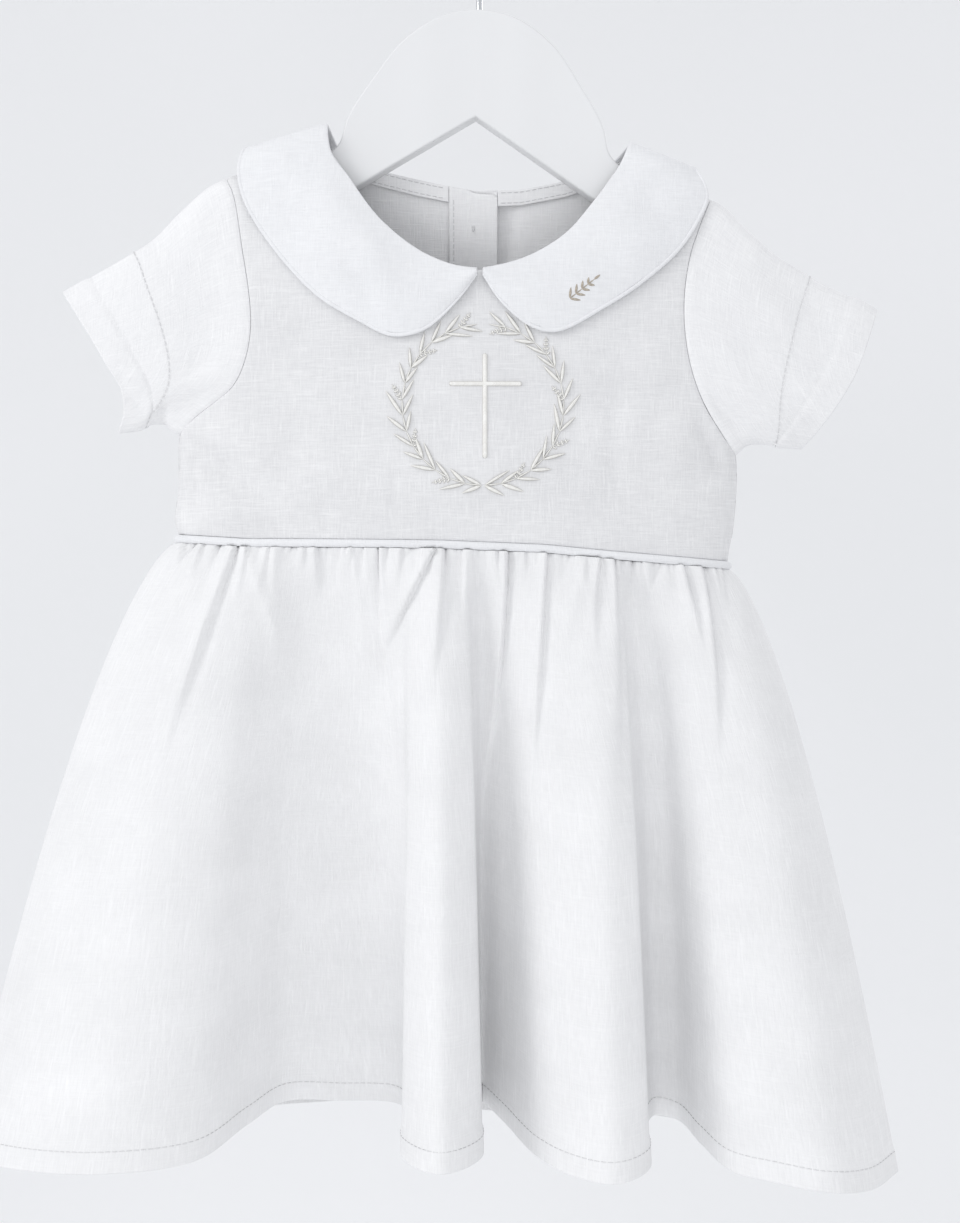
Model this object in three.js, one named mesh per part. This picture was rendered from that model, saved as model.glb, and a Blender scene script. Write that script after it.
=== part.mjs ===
// A baby's short-sleeved linen christening gown on a flat wooden clothes hanger.
// Millimetres, +Z up. The front faces -Y and +X is to the right seen from the front.
// The origin is the inside top of the hanger's hook, the point that it hangs from.
import * as THREE from "three";
import { mergeVertices } from "three/addons/utils/BufferGeometryUtils.js";

// Cloth sizes
const CLOTH = 1.2; // wall of one panel
const DOUBLE_CLOTH = 1.5; // wall of the collar, which is two layers
const SEAM_GAP = 0.45; // half of the space between two panels at a seam
const PIPING_RADIUS = 1.9;
const PIPING_GAP = 0.45; // between the cord and the panels above and below it
const PIPING_SIDES = 6;
const PIPING_STEPS = 64;

// Half the depth of the bodice, measured from the middle plane
const SHOULDER_DEPTH = 9;
const CHEST_DEPTH = 18;
const WAIST_DEPTH = 22;
const CHEST_DROP = 65; // below the shoulder line
const WAIST_DROP = 190;
const SHOULDER_ROUND = 8; // radius of the cloth where it passes over the hanger
const SLEEVE_SPREAD = 30; // how much wider than the underarm the garment is at the shoulders

// Back opening
const PLACKET_LEFT_X = -15;
const PLACKET_RIGHT_X = 8.5;
const OVERLAP = 2.0; // how far the outer layer stands off the inner one
const OVERLAP_REACH = 14; // how far past the opening the outer layer still stands off
const OVERLAP_FADE = 11; // over how much of that it comes down
const PLACKET_FOOT_GAP = 2; // from the placket's lower edge to the waist
const BUTTON_COUNT = 4;
const BUTTON_RADIUS = 5.5;
const BUTTON_THICKNESS = 2.4;
const BUTTON_TOP_Z = -159;
const BUTTON_PITCH = 46;
const BUTTON_GAP = 0.35;
const BUTTON_SIDES = 16;

// Collar
const COLLAR_OFFSET = 2.3; // from the middle of the bodice cloth to the middle of the collar
const COLLAR_PUFF = 2.2; // how far the collar rises between its two edges
const COLLAR_ROUND = 13; // radius of the collar where it passes over the shoulder
const COLLAR_END = { left: -9, right: 6.8 }; // where the two halves end at the back neck
const COLLAR_COLUMNS = 16; // in the front half and again in the back half
const COLLAR_ROWS = 6;
const COLLAR_LIFT_X = -27; // the back half rises over the overlap from here to the right
const COLLAR_LIFT_WIDTH = 10;
const COLLAR_FRONT_NECK = { halfGap: 1.1, z: -185 }; // where the halves meet at the neck

// Neck binding
const BINDING_WIDTH = 8;
const BINDING_CLOTH = 0.9;
const BINDING_DROP = 0.6; // from the back neckline to the strip's upper edge
const BINDING_COLUMNS = 10;
const BINDING_ROWS = 2;
const PLACKET_COLUMNS = 6;
const PLACKET_ROWS = 12;
const BINDING_OFFSET = 1.7; // from the middle of the bodice cloth to the middle of the strip
const BINDING_LEFT = { fromX: -54, toX: -17 };
const BINDING_RIGHT = { fromX: 10.5, toX: 54 };

// Sleeves
const SLEEVE_DEPTH = 12; // half depth of a sleeve halfway down
const CUFF_DEPTH = 9;
const ARMHOLE_GAP = 0.9; // between the sleeve and the bodice, along the sleeve
const ARMHOLE_FADE = 0.1; // share of the sleeve over which that gap is taken up
const SLEEVE_FILL = 2.2; // how fast a sleeve takes on its own depth below the armhole
const SLEEVE_RINGS = [0, 0.1, 0.25, 0.4, 0.55, 0.7, 0.87, 1];
const SLEEVE_COLUMNS = 28;

// Skirt
const SKIRT_SEAM = 0.9; // half of the space between the panels at the top of a side seam
const GATHERS = 37; // in each of the two skirt panels
const GATHER_HEIGHT = 1.7;
const GATHER_DRIFT = 0.32; // how far a gather may stray, as a share of its width
const GATHER_DRIFT_WAVES = 9.3; // how many times that changes across a panel
const GATHER_FADE = 0.3; // share of the skirt's length where the gathers have gone
const GATHER_FADE_POWER = 1.5;
const FLARE_POWER = 0.67; // how the width eases out from waist to hem
const FOLD_POWER = 0.85; // how the depth of the folds grows from waist to hem

// Hanger
const HANGER_THICKNESS = 10;
const HANGER_BEVEL = 2;
const HANGER_SEGMENTS = 2; // of each curve between two points, and of the bevel
const HANGER_TILT = 0.04; // radians, the right arm hangs lower
const HANGER_TOP_Z = -58;
const WIRE_RADIUS = 1.95;
const HOOK_INNER_RADIUS = 19;
const HOOK_STEM_GAP = 0.3; // between the wire's foot and the top of the hanger
const HOOK_STEM = { straight: 7, bent: 14, bentX: 3.2 }; // points of the stem above its foot
const HOOK_BOW = [-55, -28, 0, 30, 60, 90, 120, 150, 178, 202]; // degrees round the hook
const HOOK_STEPS = 40;
const HOOK_SEGMENTS = 4;

const linen = new THREE.MeshStandardMaterial({ color: 0xf1f0ee, roughness: 0.92 });
const collarLinen = new THREE.MeshStandardMaterial({ color: 0xf6f6f7, roughness: 0.9 });
const bindingLinen = new THREE.MeshStandardMaterial({ color: 0xe6e5e4, roughness: 0.92 });
const shell = new THREE.MeshStandardMaterial({ color: 0xf4f2ee, roughness: 0.35 });
const paintedWood = new THREE.MeshStandardMaterial({ color: 0xeeeff0, roughness: 0.45 });
const steel = new THREE.MeshStandardMaterial({ color: 0xb9bcc0, roughness: 0.25, metalness: 1 });

// Outlines, seen from the front, each row a point of a seam or an edge
const LEFT_SIDE = rows("x z", [
  [-145, -310.6],
  [-146.5, -302],
  [-145.3, -291],
  [-144.5, -278],
  [-144, -261],
  [-136.5, -254],
  [-125.4, -246],
  [-117, -239],
  [-111.5, -228],
  [-108.5, -213],
  [-109, -197],
  [-112.8, -173],
  [-117.5, -147],
  [-121.4, -138],
]);
const RIGHT_SIDE = rows("x z", [
  [119, -323.5],
  [121.5, -306],
  [123, -290],
  [123.2, -279],
  [122.5, -271],
  [116.5, -263],
  [105.8, -246],
  [99.7, -229],
  [96.8, -211],
  [96.8, -195],
  [99.7, -177],
  [105, -161],
  [110.4, -148],
]);
const FRONT_NECK = rows("x z", [
  [-74, -121.8],
  [-70.3, -128],
  [-63, -138.5],
  [-47.7, -160],
  [-29.2, -175.5],
  [-14, -182.5],
  [0, -185],
  [21.6, -179],
  [39.6, -168],
  [53.4, -152],
  [65.5, -135],
  [72.5, -127.2],
]);
const BACK_NECK = rows("x z", [
  [-74, -121.8],
  [-64, -127],
  [-49, -131.5],
  [-30, -136],
  [-12, -139.5],
  [0, -141],
  [20, -140.5],
  [42, -136.5],
  [60, -130.8],
  [72.5, -127.2],
]);
const WAIST = rows("x z", [
  [-145, -310.6],
  [-111, -313],
  [-60, -313.5],
  [-20, -314],
  [30, -316],
  [62, -319],
  [100, -322],
  [119, -323.5],
]);

// Rows of the side tables that are the underarm points
const LEFT_UNDERARM = 4;
const RIGHT_UNDERARM = 4;

// The collar's outer edge from the centre front, over the shoulder, to the centre back
const LEFT_COLLAR_EDGE = {
  front: rows("x z", [
    [-1.6, -187],
    [-11.2, -200.5],
    [-26.2, -213.8],
    [-41.2, -216.6],
    [-57.7, -209],
    [-77, -197],
    [-97, -175.3],
    [-111.6, -152],
    [-115.3, -137],
    [-113.5, -124],
  ]),
  back: rows("x z", [
    [-113.5, -124],
    [-115, -140],
    [-110, -157],
    [-97, -172],
    [-76, -182],
    [-50, -187],
    [-26, -187],
    [-13, -180],
    [-9.5, -164],
    [-9, -143],
  ]),
};
const RIGHT_COLLAR_EDGE = {
  front: rows("x z", [
    [1.6, -187],
    [9.8, -200.3],
    [24.4, -212.4],
    [36.6, -214.3],
    [57.7, -203.5],
    [77, -190.7],
    [93.7, -175.5],
    [103, -162],
    [108.6, -148],
    [102.8, -133],
  ]),
  back: rows("x z", [
    [102.8, -133],
    [107, -149],
    [103, -165],
    [91, -178],
    [72, -187],
    [48, -191],
    [26, -190],
    [12, -183],
    [7.5, -167],
    [6.8, -145],
  ]),
};
const LEFT_COLLAR_TOP = { neck: { x: -72.8, z: -112 }, edge: { x: -113.5, z: -124 } };
const RIGHT_COLLAR_TOP = { neck: { x: 71.8, z: -121 }, edge: { x: 102.8, z: -133 } };

// Sleeves: the top fold, the underarm fold and the cuff, each from its own start
const LEFT_SLEEVE = {
  top: rows("x z", [
    [-121.4, -138],
    [-130, -142.5],
    [-144.5, -155.4],
    [-156.5, -167.5],
    [-170, -176],
    [-187.7, -186.2],
    [-199.7, -193],
  ]),
  under: rows("x z", [
    [-144, -261],
    [-149, -257.5],
    [-156, -255.3],
    [-164, -258],
    [-173.3, -259.1],
  ]),
  cuff: rows("x z", [
    [-173.3, -259.1],
    [-170, -251],
    [-171, -240],
    [-178.3, -227],
    [-187, -212.5],
    [-199.7, -193],
  ]),
};
const RIGHT_SLEEVE = {
  top: rows("x z", [
    [110.4, -148],
    [116.6, -151.6],
    [125.8, -160.7],
    [140.6, -174],
    [150.7, -180.4],
    [165.6, -189.5],
    [183.8, -197.6],
    [190.1, -201.5],
  ]),
  under: rows("x z", [
    [122.5, -271],
    [127, -266.3],
    [133, -265],
    [142, -265.6],
    [154.6, -266.8],
  ]),
  cuff: rows("x z", [
    [154.6, -266.8],
    [161.5, -259],
    [171, -246],
    [179, -232],
    [184.8, -217],
    [190.1, -201.5],
  ]),
};

// Skirt folds: each row is a ridge or a valley that runs from the waist to the hem.
// waist is its share of the way across the panel, x, y and z its place at the hem.
const FRONT_FOLDS = rows("waist x y z", [
  [0, -251, 12, -607.5],
  [0.035, -222, -25, -604.5],
  [0.095, -173, -48, -600.5],
  [0.15, -133, -35, -599],
  [0.2, -113, 5, -593.5],
  [0.24, -97, 35, -590],
  [0.28, -71, 45, -592.5],
  [0.34, -42, 44, -593.5],
  [0.4, -32, 10, -596],
  [0.44, -36, -22, -600.5],
  [0.479, -18, -45, -601.5],
  [0.515, 0, -24, -600.5],
  [0.535, -3, 14, -595],
  [0.55, 1, 39, -591.5],
  [0.585, 12, 20, -596],
  [0.64, 28, -15, -603],
  [0.7, 44, -32, -606.5],
  [0.75, 62, -40, -607.5],
  [0.785, 78, -26, -605.5],
  [0.8, 79, 8, -600],
  [0.815, 88, 37, -597.5],
  [0.84, 99, 33, -599],
  [0.87, 108, 6, -603.5],
  [0.9, 119, -14, -609.5],
  [0.94, 140, -25, -612],
  [0.965, 163, -28, -615.5],
  [0.985, 184, -16, -618],
  [1, 202, 7, -616.5],
]);
const BACK_FOLDS = rows("waist x y z", [
  [0, -251, 14, -607.5],
  [0.05, -226, 52, -604],
  [0.12, -186, 76, -601],
  [0.2, -148, 71, -600],
  [0.26, -124, 60, -600],
  [0.34, -92, 74, -602],
  [0.41, -60, 88, -604],
  [0.48, -28, 80, -604],
  [0.54, -2, 62, -602],
  [0.61, 30, 72, -606],
  [0.68, 58, 87, -609],
  [0.75, 88, 78, -609],
  [0.81, 112, 60, -608],
  [0.88, 142, 66, -612],
  [0.94, 172, 58, -615],
  [0.97, 190, 36, -617],
  [1, 202, 9, -616.5],
]);

// Columns of the skirt's mesh at each share of the way down: dense where it is gathered
const SKIRT_ROWS = rows("down columns", [
  [0, 4 * GATHERS],
  [0.05, 4 * GATHERS],
  [0.12, 2 * GATHERS],
  [0.2, 2 * GATHERS],
  [0.3, 56],
  [0.42, 56],
  [0.56, 56],
  [0.7, 56],
  [0.85, 56],
  [1, 56],
]);

// A table's rows as objects with named columns.
function rows(names, values) {
  const columns = names.split(" ");
  return values.map((row) => Object.fromEntries(columns.map((name, i) => [name, row[i]])));
}

const lerp = (a, b, share) => a + (b - a) * share;
const clamp = (value, low = 0, high = 1) => Math.min(Math.max(value, low), high);
const smooth = (value) => clamp(value) ** 2 * (3 - 2 * clamp(value));
const mixPoints = (p, q, share) => ({ x: lerp(p.x, q.x, share), z: lerp(p.z, q.z, share) });

// A smooth curve through a table's points, read by its share of the way along.
function outline(table) {
  const points = table.map(({ x, y = 0, z }) => new THREE.Vector3(x, y, z));
  const curve = new THREE.CatmullRomCurve3(points, false, "centripetal");
  curve.arcLengthDivisions = 400;
  return (share) => curve.getPointAt(clamp(share));
}

// A column of a table against another column, without overshoot between the rows.
function readAcross(table, against, wanted, value) {
  const last = table.length - 1;
  const next = clamp(table.findIndex((row) => row[against] > value), 0, last) || last;
  const [a, b] = [table[next - 1], table[next]];
  const share = clamp((value - a[against]) / (b[against] - a[against]));
  return lerp(a[wanted], b[wanted], share);
}

// A sheet of points and faces through rows that may have different numbers of points. Between
// two rows it takes the shorter way across each time. The ends of closed rows meet.
function sheetFromRows(pointRows, closed = false) {
  const points = pointRows.flat();
  const faces = [];
  let start = 0;
  for (let i = 0; i + 1 < pointRows.length; i += 1) {
    const [low, high] = [pointRows[i].length, pointRows[i + 1].length];
    const upper = start + low;
    const [lowSteps, highSteps] = closed ? [low, high] : [low - 1, high - 1];
    const lowAt = (k) => start + (k % low);
    const highAt = (k) => upper + (k % high);
    let [a, b] = [0, 0];
    while (a < lowSteps || b < highSteps) {
      const across = points[lowAt(a + 1)].distanceTo(points[highAt(b)]);
      const back = points[lowAt(a)].distanceTo(points[highAt(b + 1)]);
      const takeLow = b >= highSteps || (a < lowSteps && across <= back);
      faces.push([lowAt(a), takeLow ? lowAt(a + 1) : highAt(b + 1), highAt(b)]);
      if (takeLow) a += 1;
      else b += 1;
    }
    start = upper;
  }
  return { points, faces };
}

// Thickens a sheet into one closed wall, half of it on each side, with its edges closed.
function wallFromSheet({ points, faces }, thickness) {
  const sheet = new THREE.BufferGeometry().setFromPoints(points).setIndex(faces.flat());
  sheet.computeVertexNormals();
  const normals = sheet.getAttribute("normal");
  const offset = (side) =>
    points.map((point, i) => {
      const normal = new THREE.Vector3().fromBufferAttribute(normals, i);
      return point.clone().addScaledVector(normal, (side * thickness) / 2);
    });
  const count = points.length;
  const edges = new Set();
  for (const [a, b, c] of faces) {
    for (const [from, to] of [[a, b], [b, c], [c, a]]) edges.add(`${from} ${to}`);
  }
  const index = faces.flat();
  for (const [a, b, c] of faces) index.push(a + count, c + count, b + count);
  for (const edge of edges) {
    const [from, to] = edge.split(" ").map(Number);
    if (edges.has(`${to} ${from}`)) continue;
    index.push(to, from, from + count);
    index.push(to, from + count, to + count);
  }
  const wall = new THREE.BufferGeometry().setFromPoints([...offset(1), ...offset(-1)]);
  wall.setIndex(index);
  wall.computeVertexNormals();
  return wall;
}

function piece(name, geometry, material) {
  const mesh = new THREE.Mesh(geometry, material);
  mesh.name = name;
  return mesh;
}

// Height of the shoulder line over any x, with a straight line between the two neck points.
function shoulderLine(x) {
  const [leftNeck, rightNeck] = [FRONT_NECK[0], FRONT_NECK.at(-1)];
  const [leftTip, rightTip] = [LEFT_SIDE.at(-1), RIGHT_SIDE.at(-1)];
  return readAcross([leftTip, leftNeck, rightNeck, rightTip], "x", "z", x);
}

// How round the cloth is at a distance below the line that it is folded over: 0 on it, 1 below.
const foldedOver = (drop, radius) => Math.sqrt(1 - (1 - clamp(drop / radius)) ** 2);

// Where the lens of the bodice would end on one side: at the side seam up to the underarm, and
// further out above it, because the sleeve goes on from there.
function lensEnd(table, underarm, z) {
  const side = table.slice(0, underarm + 1);
  const { x, z: top } = table[underarm];
  if (z <= top) return readAcross(side, "z", "x", z);
  return x + Math.sign(x) * SLEEVE_SPREAD * clamp((z - top) / (shoulderLine(0) - top));
}

// Half the depth of the garment at a point of its front outline, a lens that is flattest at the
// shoulders and fullest at the waist.
function lensDepth(x, z) {
  const drop = shoulderLine(x) - z;
  const left = lensEnd(LEFT_SIDE, LEFT_UNDERARM, z);
  const right = lensEnd(RIGHT_SIDE, RIGHT_UNDERARM, z);
  const across = (2 * x - left - right) / (right - left);
  const full =
    SHOULDER_DEPTH +
    (CHEST_DEPTH - SHOULDER_DEPTH) * smooth(drop / CHEST_DROP) +
    (WAIST_DEPTH - CHEST_DEPTH) * smooth((drop - CHEST_DROP) / (WAIST_DROP - CHEST_DROP));
  return full * Math.sqrt(Math.max(1 - across ** 2, 0));
}

const bodiceDepth = (x, z) => lensDepth(x, z) * foldedOver(shoulderLine(x) - z, SHOULDER_ROUND);

// Shares that crowd a little towards both ends, so that a panel's edges can be round.
const crowdedShares = (count, crowding = 0.6) =>
  Array.from({ length: count + 1 }, (_, i) =>
    lerp(i / count, 0.5 - 0.5 * Math.cos((Math.PI * i) / count), crowding),
  );

// Heights of a bodice panel's rows, closer together where it passes over the hanger.
const BODICE_ROWS = [
  0, 0.1, 0.2, 0.27, 0.32, 0.37, 0.42, 0.48, 0.55, 0.63, 0.72, 0.81, 0.88, 0.93, 0.965, 0.985, 1,
];

// A bodice panel blended between its four edges. The edges are read by shares of the way along.
function bodiceRows({ left, right, bottom, top, shares, depthAt }) {
  const corners = [bottom(0), bottom(1), top(0), top(1)];
  return BODICE_ROWS.map((v) =>
    shares.map((u) => {
      const [low, high, start, end] = [bottom(u), top(u), left(v), right(v)];
      const blend = (axis) =>
        lerp(low[axis], high[axis], v) +
        lerp(start[axis], end[axis], u) -
        lerp(
          lerp(corners[0][axis], corners[1][axis], u),
          lerp(corners[2][axis], corners[3][axis], u),
          v,
        );
      const [x, z] = [blend("x"), blend("z")];
      return new THREE.Vector3(x, depthAt(x, z, u, v), z);
    }),
  );
}

// Joins curves end to end, each over its own range of shares.
function joined(stretches) {
  return (share) => {
    const stretch = stretches.find(({ to }) => share <= to + 1e-9) || stretches.at(-1);
    return stretch.curve(clamp((share - stretch.from) / (stretch.to - stretch.from)));
  };
}

const line = (p, q) => (share) => mixPoints(p, q, share);

// The waist as the bodice, the piping and the skirt share it: x to height.
const waistZ = (x) => readAcross(WAIST, "x", "z", x);
const waistEdge = (fromX, toX, lift) => (share) => {
  const x = lerp(fromX, toX, share);
  return { x, z: waistZ(x) + lift };
};
const WAIST_LIFT = PIPING_RADIUS + PIPING_GAP;

// A panel's side from the waist, past the underarm, up to the shoulder point.
function raisedSide(table) {
  const [foot, ...rest] = table;
  return outline([{ x: foot.x, z: foot.z + WAIST_LIFT }, ...rest]);
}

const [leftFoot, rightFoot] = [LEFT_SIDE[0], RIGHT_SIDE[0]];
const [leftTip, rightTip] = [LEFT_SIDE.at(-1), RIGHT_SIDE.at(-1)];
const [leftNeck, rightNeck] = [FRONT_NECK[0], FRONT_NECK.at(-1)];

// Where a panel meets its neighbour in the middle plane it stops a seam's width short of it.
const seamDepth = (x, z, onSeam) => (onSeam ? SEAM_GAP : Math.max(bodiceDepth(x, z), SEAM_GAP));

const FRONT_COLUMNS = 26;
const FRONT_NECK_COLUMN = 5;
const BACK_COLUMNS = 16;
const BACK_NECK_COLUMN = 4;

function bodiceFront() {
  const shares = crowdedShares(FRONT_COLUMNS);
  const neckFrom = shares[FRONT_NECK_COLUMN];
  const neckTo = shares[FRONT_COLUMNS - FRONT_NECK_COLUMN];
  const panel = bodiceRows({
    left: raisedSide(LEFT_SIDE),
    right: raisedSide(RIGHT_SIDE),
    bottom: waistEdge(leftFoot.x, rightFoot.x, WAIST_LIFT),
    top: joined([
      { from: 0, to: neckFrom, curve: line(leftTip, leftNeck) },
      { from: neckFrom, to: neckTo, curve: outline(FRONT_NECK) },
      { from: neckTo, to: 1, curve: line(rightNeck, rightTip) },
    ]),
    shares,
    depthAt: (x, z, u, v) => -seamDepth(x, z, v === 1 && (u <= neckFrom || u >= neckTo)),
  });
  return wallFromSheet(sheetFromRows(panel), CLOTH);
}

// The back neckline from one x to another, in that order.
function backNeck(fromX, toX) {
  const [low, high] = [Math.min(fromX, toX), Math.max(fromX, toX)];
  const at = (x) => ({ x, z: readAcross(BACK_NECK, "x", "z", x) });
  const inside = BACK_NECK.filter(({ x }) => x > low + 1 && x < high - 1);
  const points = [at(low), ...inside, at(high)];
  return outline(fromX < toX ? points : points.reverse());
}

// How far the outer layer of the back opening stands off, fading away beside the opening.
const overlapAt = (x) => OVERLAP * smooth((PLACKET_RIGHT_X + OVERLAP_REACH - x) / OVERLAP_FADE);

function bodiceBack({ side, tip, neck, foot, placketX, layer }) {
  const shares = crowdedShares(BACK_COLUMNS);
  const shoulderTo = shares[BACK_NECK_COLUMN];
  const neckEnd = backNeck(neck.x, placketX);
  const placketFoot = { x: placketX, z: waistZ(placketX) + WAIST_LIFT };
  const panel = bodiceRows({
    left: raisedSide(side),
    right: line(placketFoot, neckEnd(1)),
    bottom: waistEdge(foot.x, placketX, WAIST_LIFT),
    top: joined([
      { from: 0, to: shoulderTo, curve: line(tip, neck) },
      { from: shoulderTo, to: 1, curve: neckEnd },
    ]),
    shares,
    depthAt: (x, z, u, v) => seamDepth(x, z, v === 1 && u <= shoulderTo) + layer(x),
  });
  return wallFromSheet(sheetFromRows(panel), CLOTH);
}

// A strip on the inner side of the back panels, given by its range and how far down it reaches.
function innerStrip({ fromX, toX, topAt, bottomAt, columns, stripRows, offset }) {
  const panel = Array.from({ length: stripRows + 1 }, (_, i) =>
    Array.from({ length: columns + 1 }, (_, j) => {
      const x = lerp(fromX, toX, j / columns);
      const z = lerp(bottomAt(x), topAt(x), i / stripRows);
      return new THREE.Vector3(x, bodiceDepth(x, z) - offset, z);
    }),
  );
  return wallFromSheet(sheetFromRows(panel), BINDING_CLOTH);
}

const backNeckZ = (x) => readAcross(BACK_NECK, "x", "z", x);
const neckBinding = (fromX, toX) =>
  innerStrip({
    fromX,
    toX,
    topAt: (x) => backNeckZ(x) - BINDING_DROP,
    bottomAt: (x) => backNeckZ(x) - BINDING_WIDTH,
    columns: BINDING_COLUMNS,
    stripRows: BINDING_ROWS,
    offset: BINDING_OFFSET,
  });
const placket = () =>
  innerStrip({
    fromX: PLACKET_LEFT_X,
    toX: PLACKET_RIGHT_X,
    topAt: (x) => backNeckZ(x) - BINDING_DROP,
    bottomAt: (x) => waistZ(x) + WAIST_LIFT + PLACKET_FOOT_GAP,
    columns: PLACKET_COLUMNS,
    stripRows: PLACKET_ROWS,
    offset: BINDING_OFFSET,
  });

// One half of the collar, from the centre front over the shoulder to the centre back.
function collarHalf({ edge, top, neckFront, neckBack }) {
  const topZ = (x) => readAcross([top.edge, top.neck].sort((a, b) => a.x - b.x), "x", "z", x);
  const parts = [
    { neck: outline([...neckFront, top.neck]), edge: outline(edge.front), side: -1 },
    { neck: outline([top.neck, ...neckBack]), edge: outline(edge.back), side: 1 },
  ];
  const columns = parts.flatMap(({ neck, edge: outer, side }, part) =>
    Array.from({ length: COLLAR_COLUMNS + 1 - part }, (_, j) => {
      const share = (j + part) / COLLAR_COLUMNS;
      return Array.from({ length: COLLAR_ROWS + 1 }, (_, i) => {
        const across = i / COLLAR_ROWS;
        const { x, z } = mixPoints(neck(share), outer(share), across);
        const puff = COLLAR_PUFF * Math.sin(Math.PI * across);
        const lifted = overlapAt(x) * smooth((x - COLLAR_LIFT_X) / COLLAR_LIFT_WIDTH);
        const under = side > 0 ? lifted : 0;
        const depth = lensDepth(x, z) + COLLAR_OFFSET + puff + under;
        return new THREE.Vector3(x, side * depth * foldedOver(topZ(x) - z, COLLAR_ROUND), z);
      });
    }),
  );
  return wallFromSheet(sheetFromRows(columns), DOUBLE_CLOTH);
}

// A sleeve is an open flattened tube from the armhole to the cuff.
function sleeve({ side, underarm, sleeveOutline }) {
  const armhole = outline(side.slice(underarm));
  const cuff = outline(sleeveOutline.cuff);
  const under = outline(sleeveOutline.under);
  const top = outline(sleeveOutline.top);
  const across = (share, down) => {
    const blend = (axis) =>
      lerp(armhole(share)[axis], cuff(share)[axis], down) +
      lerp(under(down)[axis], top(down)[axis], share) -
      lerp(
        lerp(under(0)[axis], under(1)[axis], down),
        lerp(top(0)[axis], top(1)[axis], down),
        share,
      );
    return { x: blend("x"), z: blend("z") };
  };
  // A place of the sleeve, with the armhole edge moved clear of the bodice.
  const place = (share, down) => {
    const [here, ahead] = [across(share, down), across(share, down + ARMHOLE_FADE)];
    const step = Math.hypot(ahead.x - here.x, ahead.z - here.z);
    const clear = ARMHOLE_GAP * clamp(1 - down / ARMHOLE_FADE);
    return mixPoints(here, ahead, clear / step);
  };
  const rings = SLEEVE_RINGS.map((down) =>
    Array.from({ length: SLEEVE_COLUMNS }, (_, j) => {
      const angle = (2 * Math.PI * j) / SLEEVE_COLUMNS;
      const share = (1 - Math.cos(angle)) / 2;
      const { x, z } = place(share, down);
      const seam = armhole(share);
      const tube = lerp(SLEEVE_DEPTH, CUFF_DEPTH, smooth(down * 2 - 1)) * Math.abs(Math.sin(angle));
      const depth = lerp(bodiceDepth(seam.x, seam.z), tube, smooth(down * SLEEVE_FILL));
      return new THREE.Vector3(x, -Math.sign(Math.sin(angle)) * Math.max(depth, 0), z);
    }),
  );
  return wallFromSheet(sheetFromRows(rings, true), CLOTH);
}

// The waist seen from above is a lens: x, and how far out of the middle plane it is.
const waistCentreX = (leftFoot.x + rightFoot.x) / 2;
const waistHalf = (rightFoot.x - leftFoot.x) / 2;
const waistDepth = (x) => {
  const across = (x - waistCentreX) / waistHalf;
  return WAIST_DEPTH * Math.sqrt(Math.max(1 - across ** 2, 0));
};

// The cord of the piping, a ring round the whole waist.
function piping() {
  const ring = Array.from({ length: PIPING_SIDES + 1 }, (_, i) => {
    const turn = (2 * Math.PI * i) / PIPING_SIDES;
    return Array.from({ length: PIPING_STEPS }, (_, j) => {
      const angle = (2 * Math.PI * j) / PIPING_STEPS;
      const x = waistCentreX + waistHalf * Math.cos(angle);
      const out = new THREE.Vector2(Math.cos(angle) / waistHalf, Math.sin(angle) / WAIST_DEPTH);
      out.normalize().multiplyScalar(PIPING_RADIUS * Math.cos(turn));
      const y = WAIST_DEPTH * Math.sin(angle) + out.y;
      return new THREE.Vector3(x + out.x, y, waistZ(x) + PIPING_RADIUS * Math.sin(turn));
    });
  });
  const { points, faces } = sheetFromRows(ring, true);
  const tube = new THREE.BufferGeometry().setFromPoints(points).setIndex(faces.flat());
  const closed = mergeVertices(tube);
  closed.computeVertexNormals();
  return closed;
}

// Uneven gathers: the share across the panel of a place that would be even otherwise.
const uneven = (even) => {
  const drift = Math.sin(2 * Math.PI * GATHER_DRIFT_WAVES * even);
  return even + (GATHER_DRIFT / GATHERS) * Math.sin(Math.PI * even) * drift;
};

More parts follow.
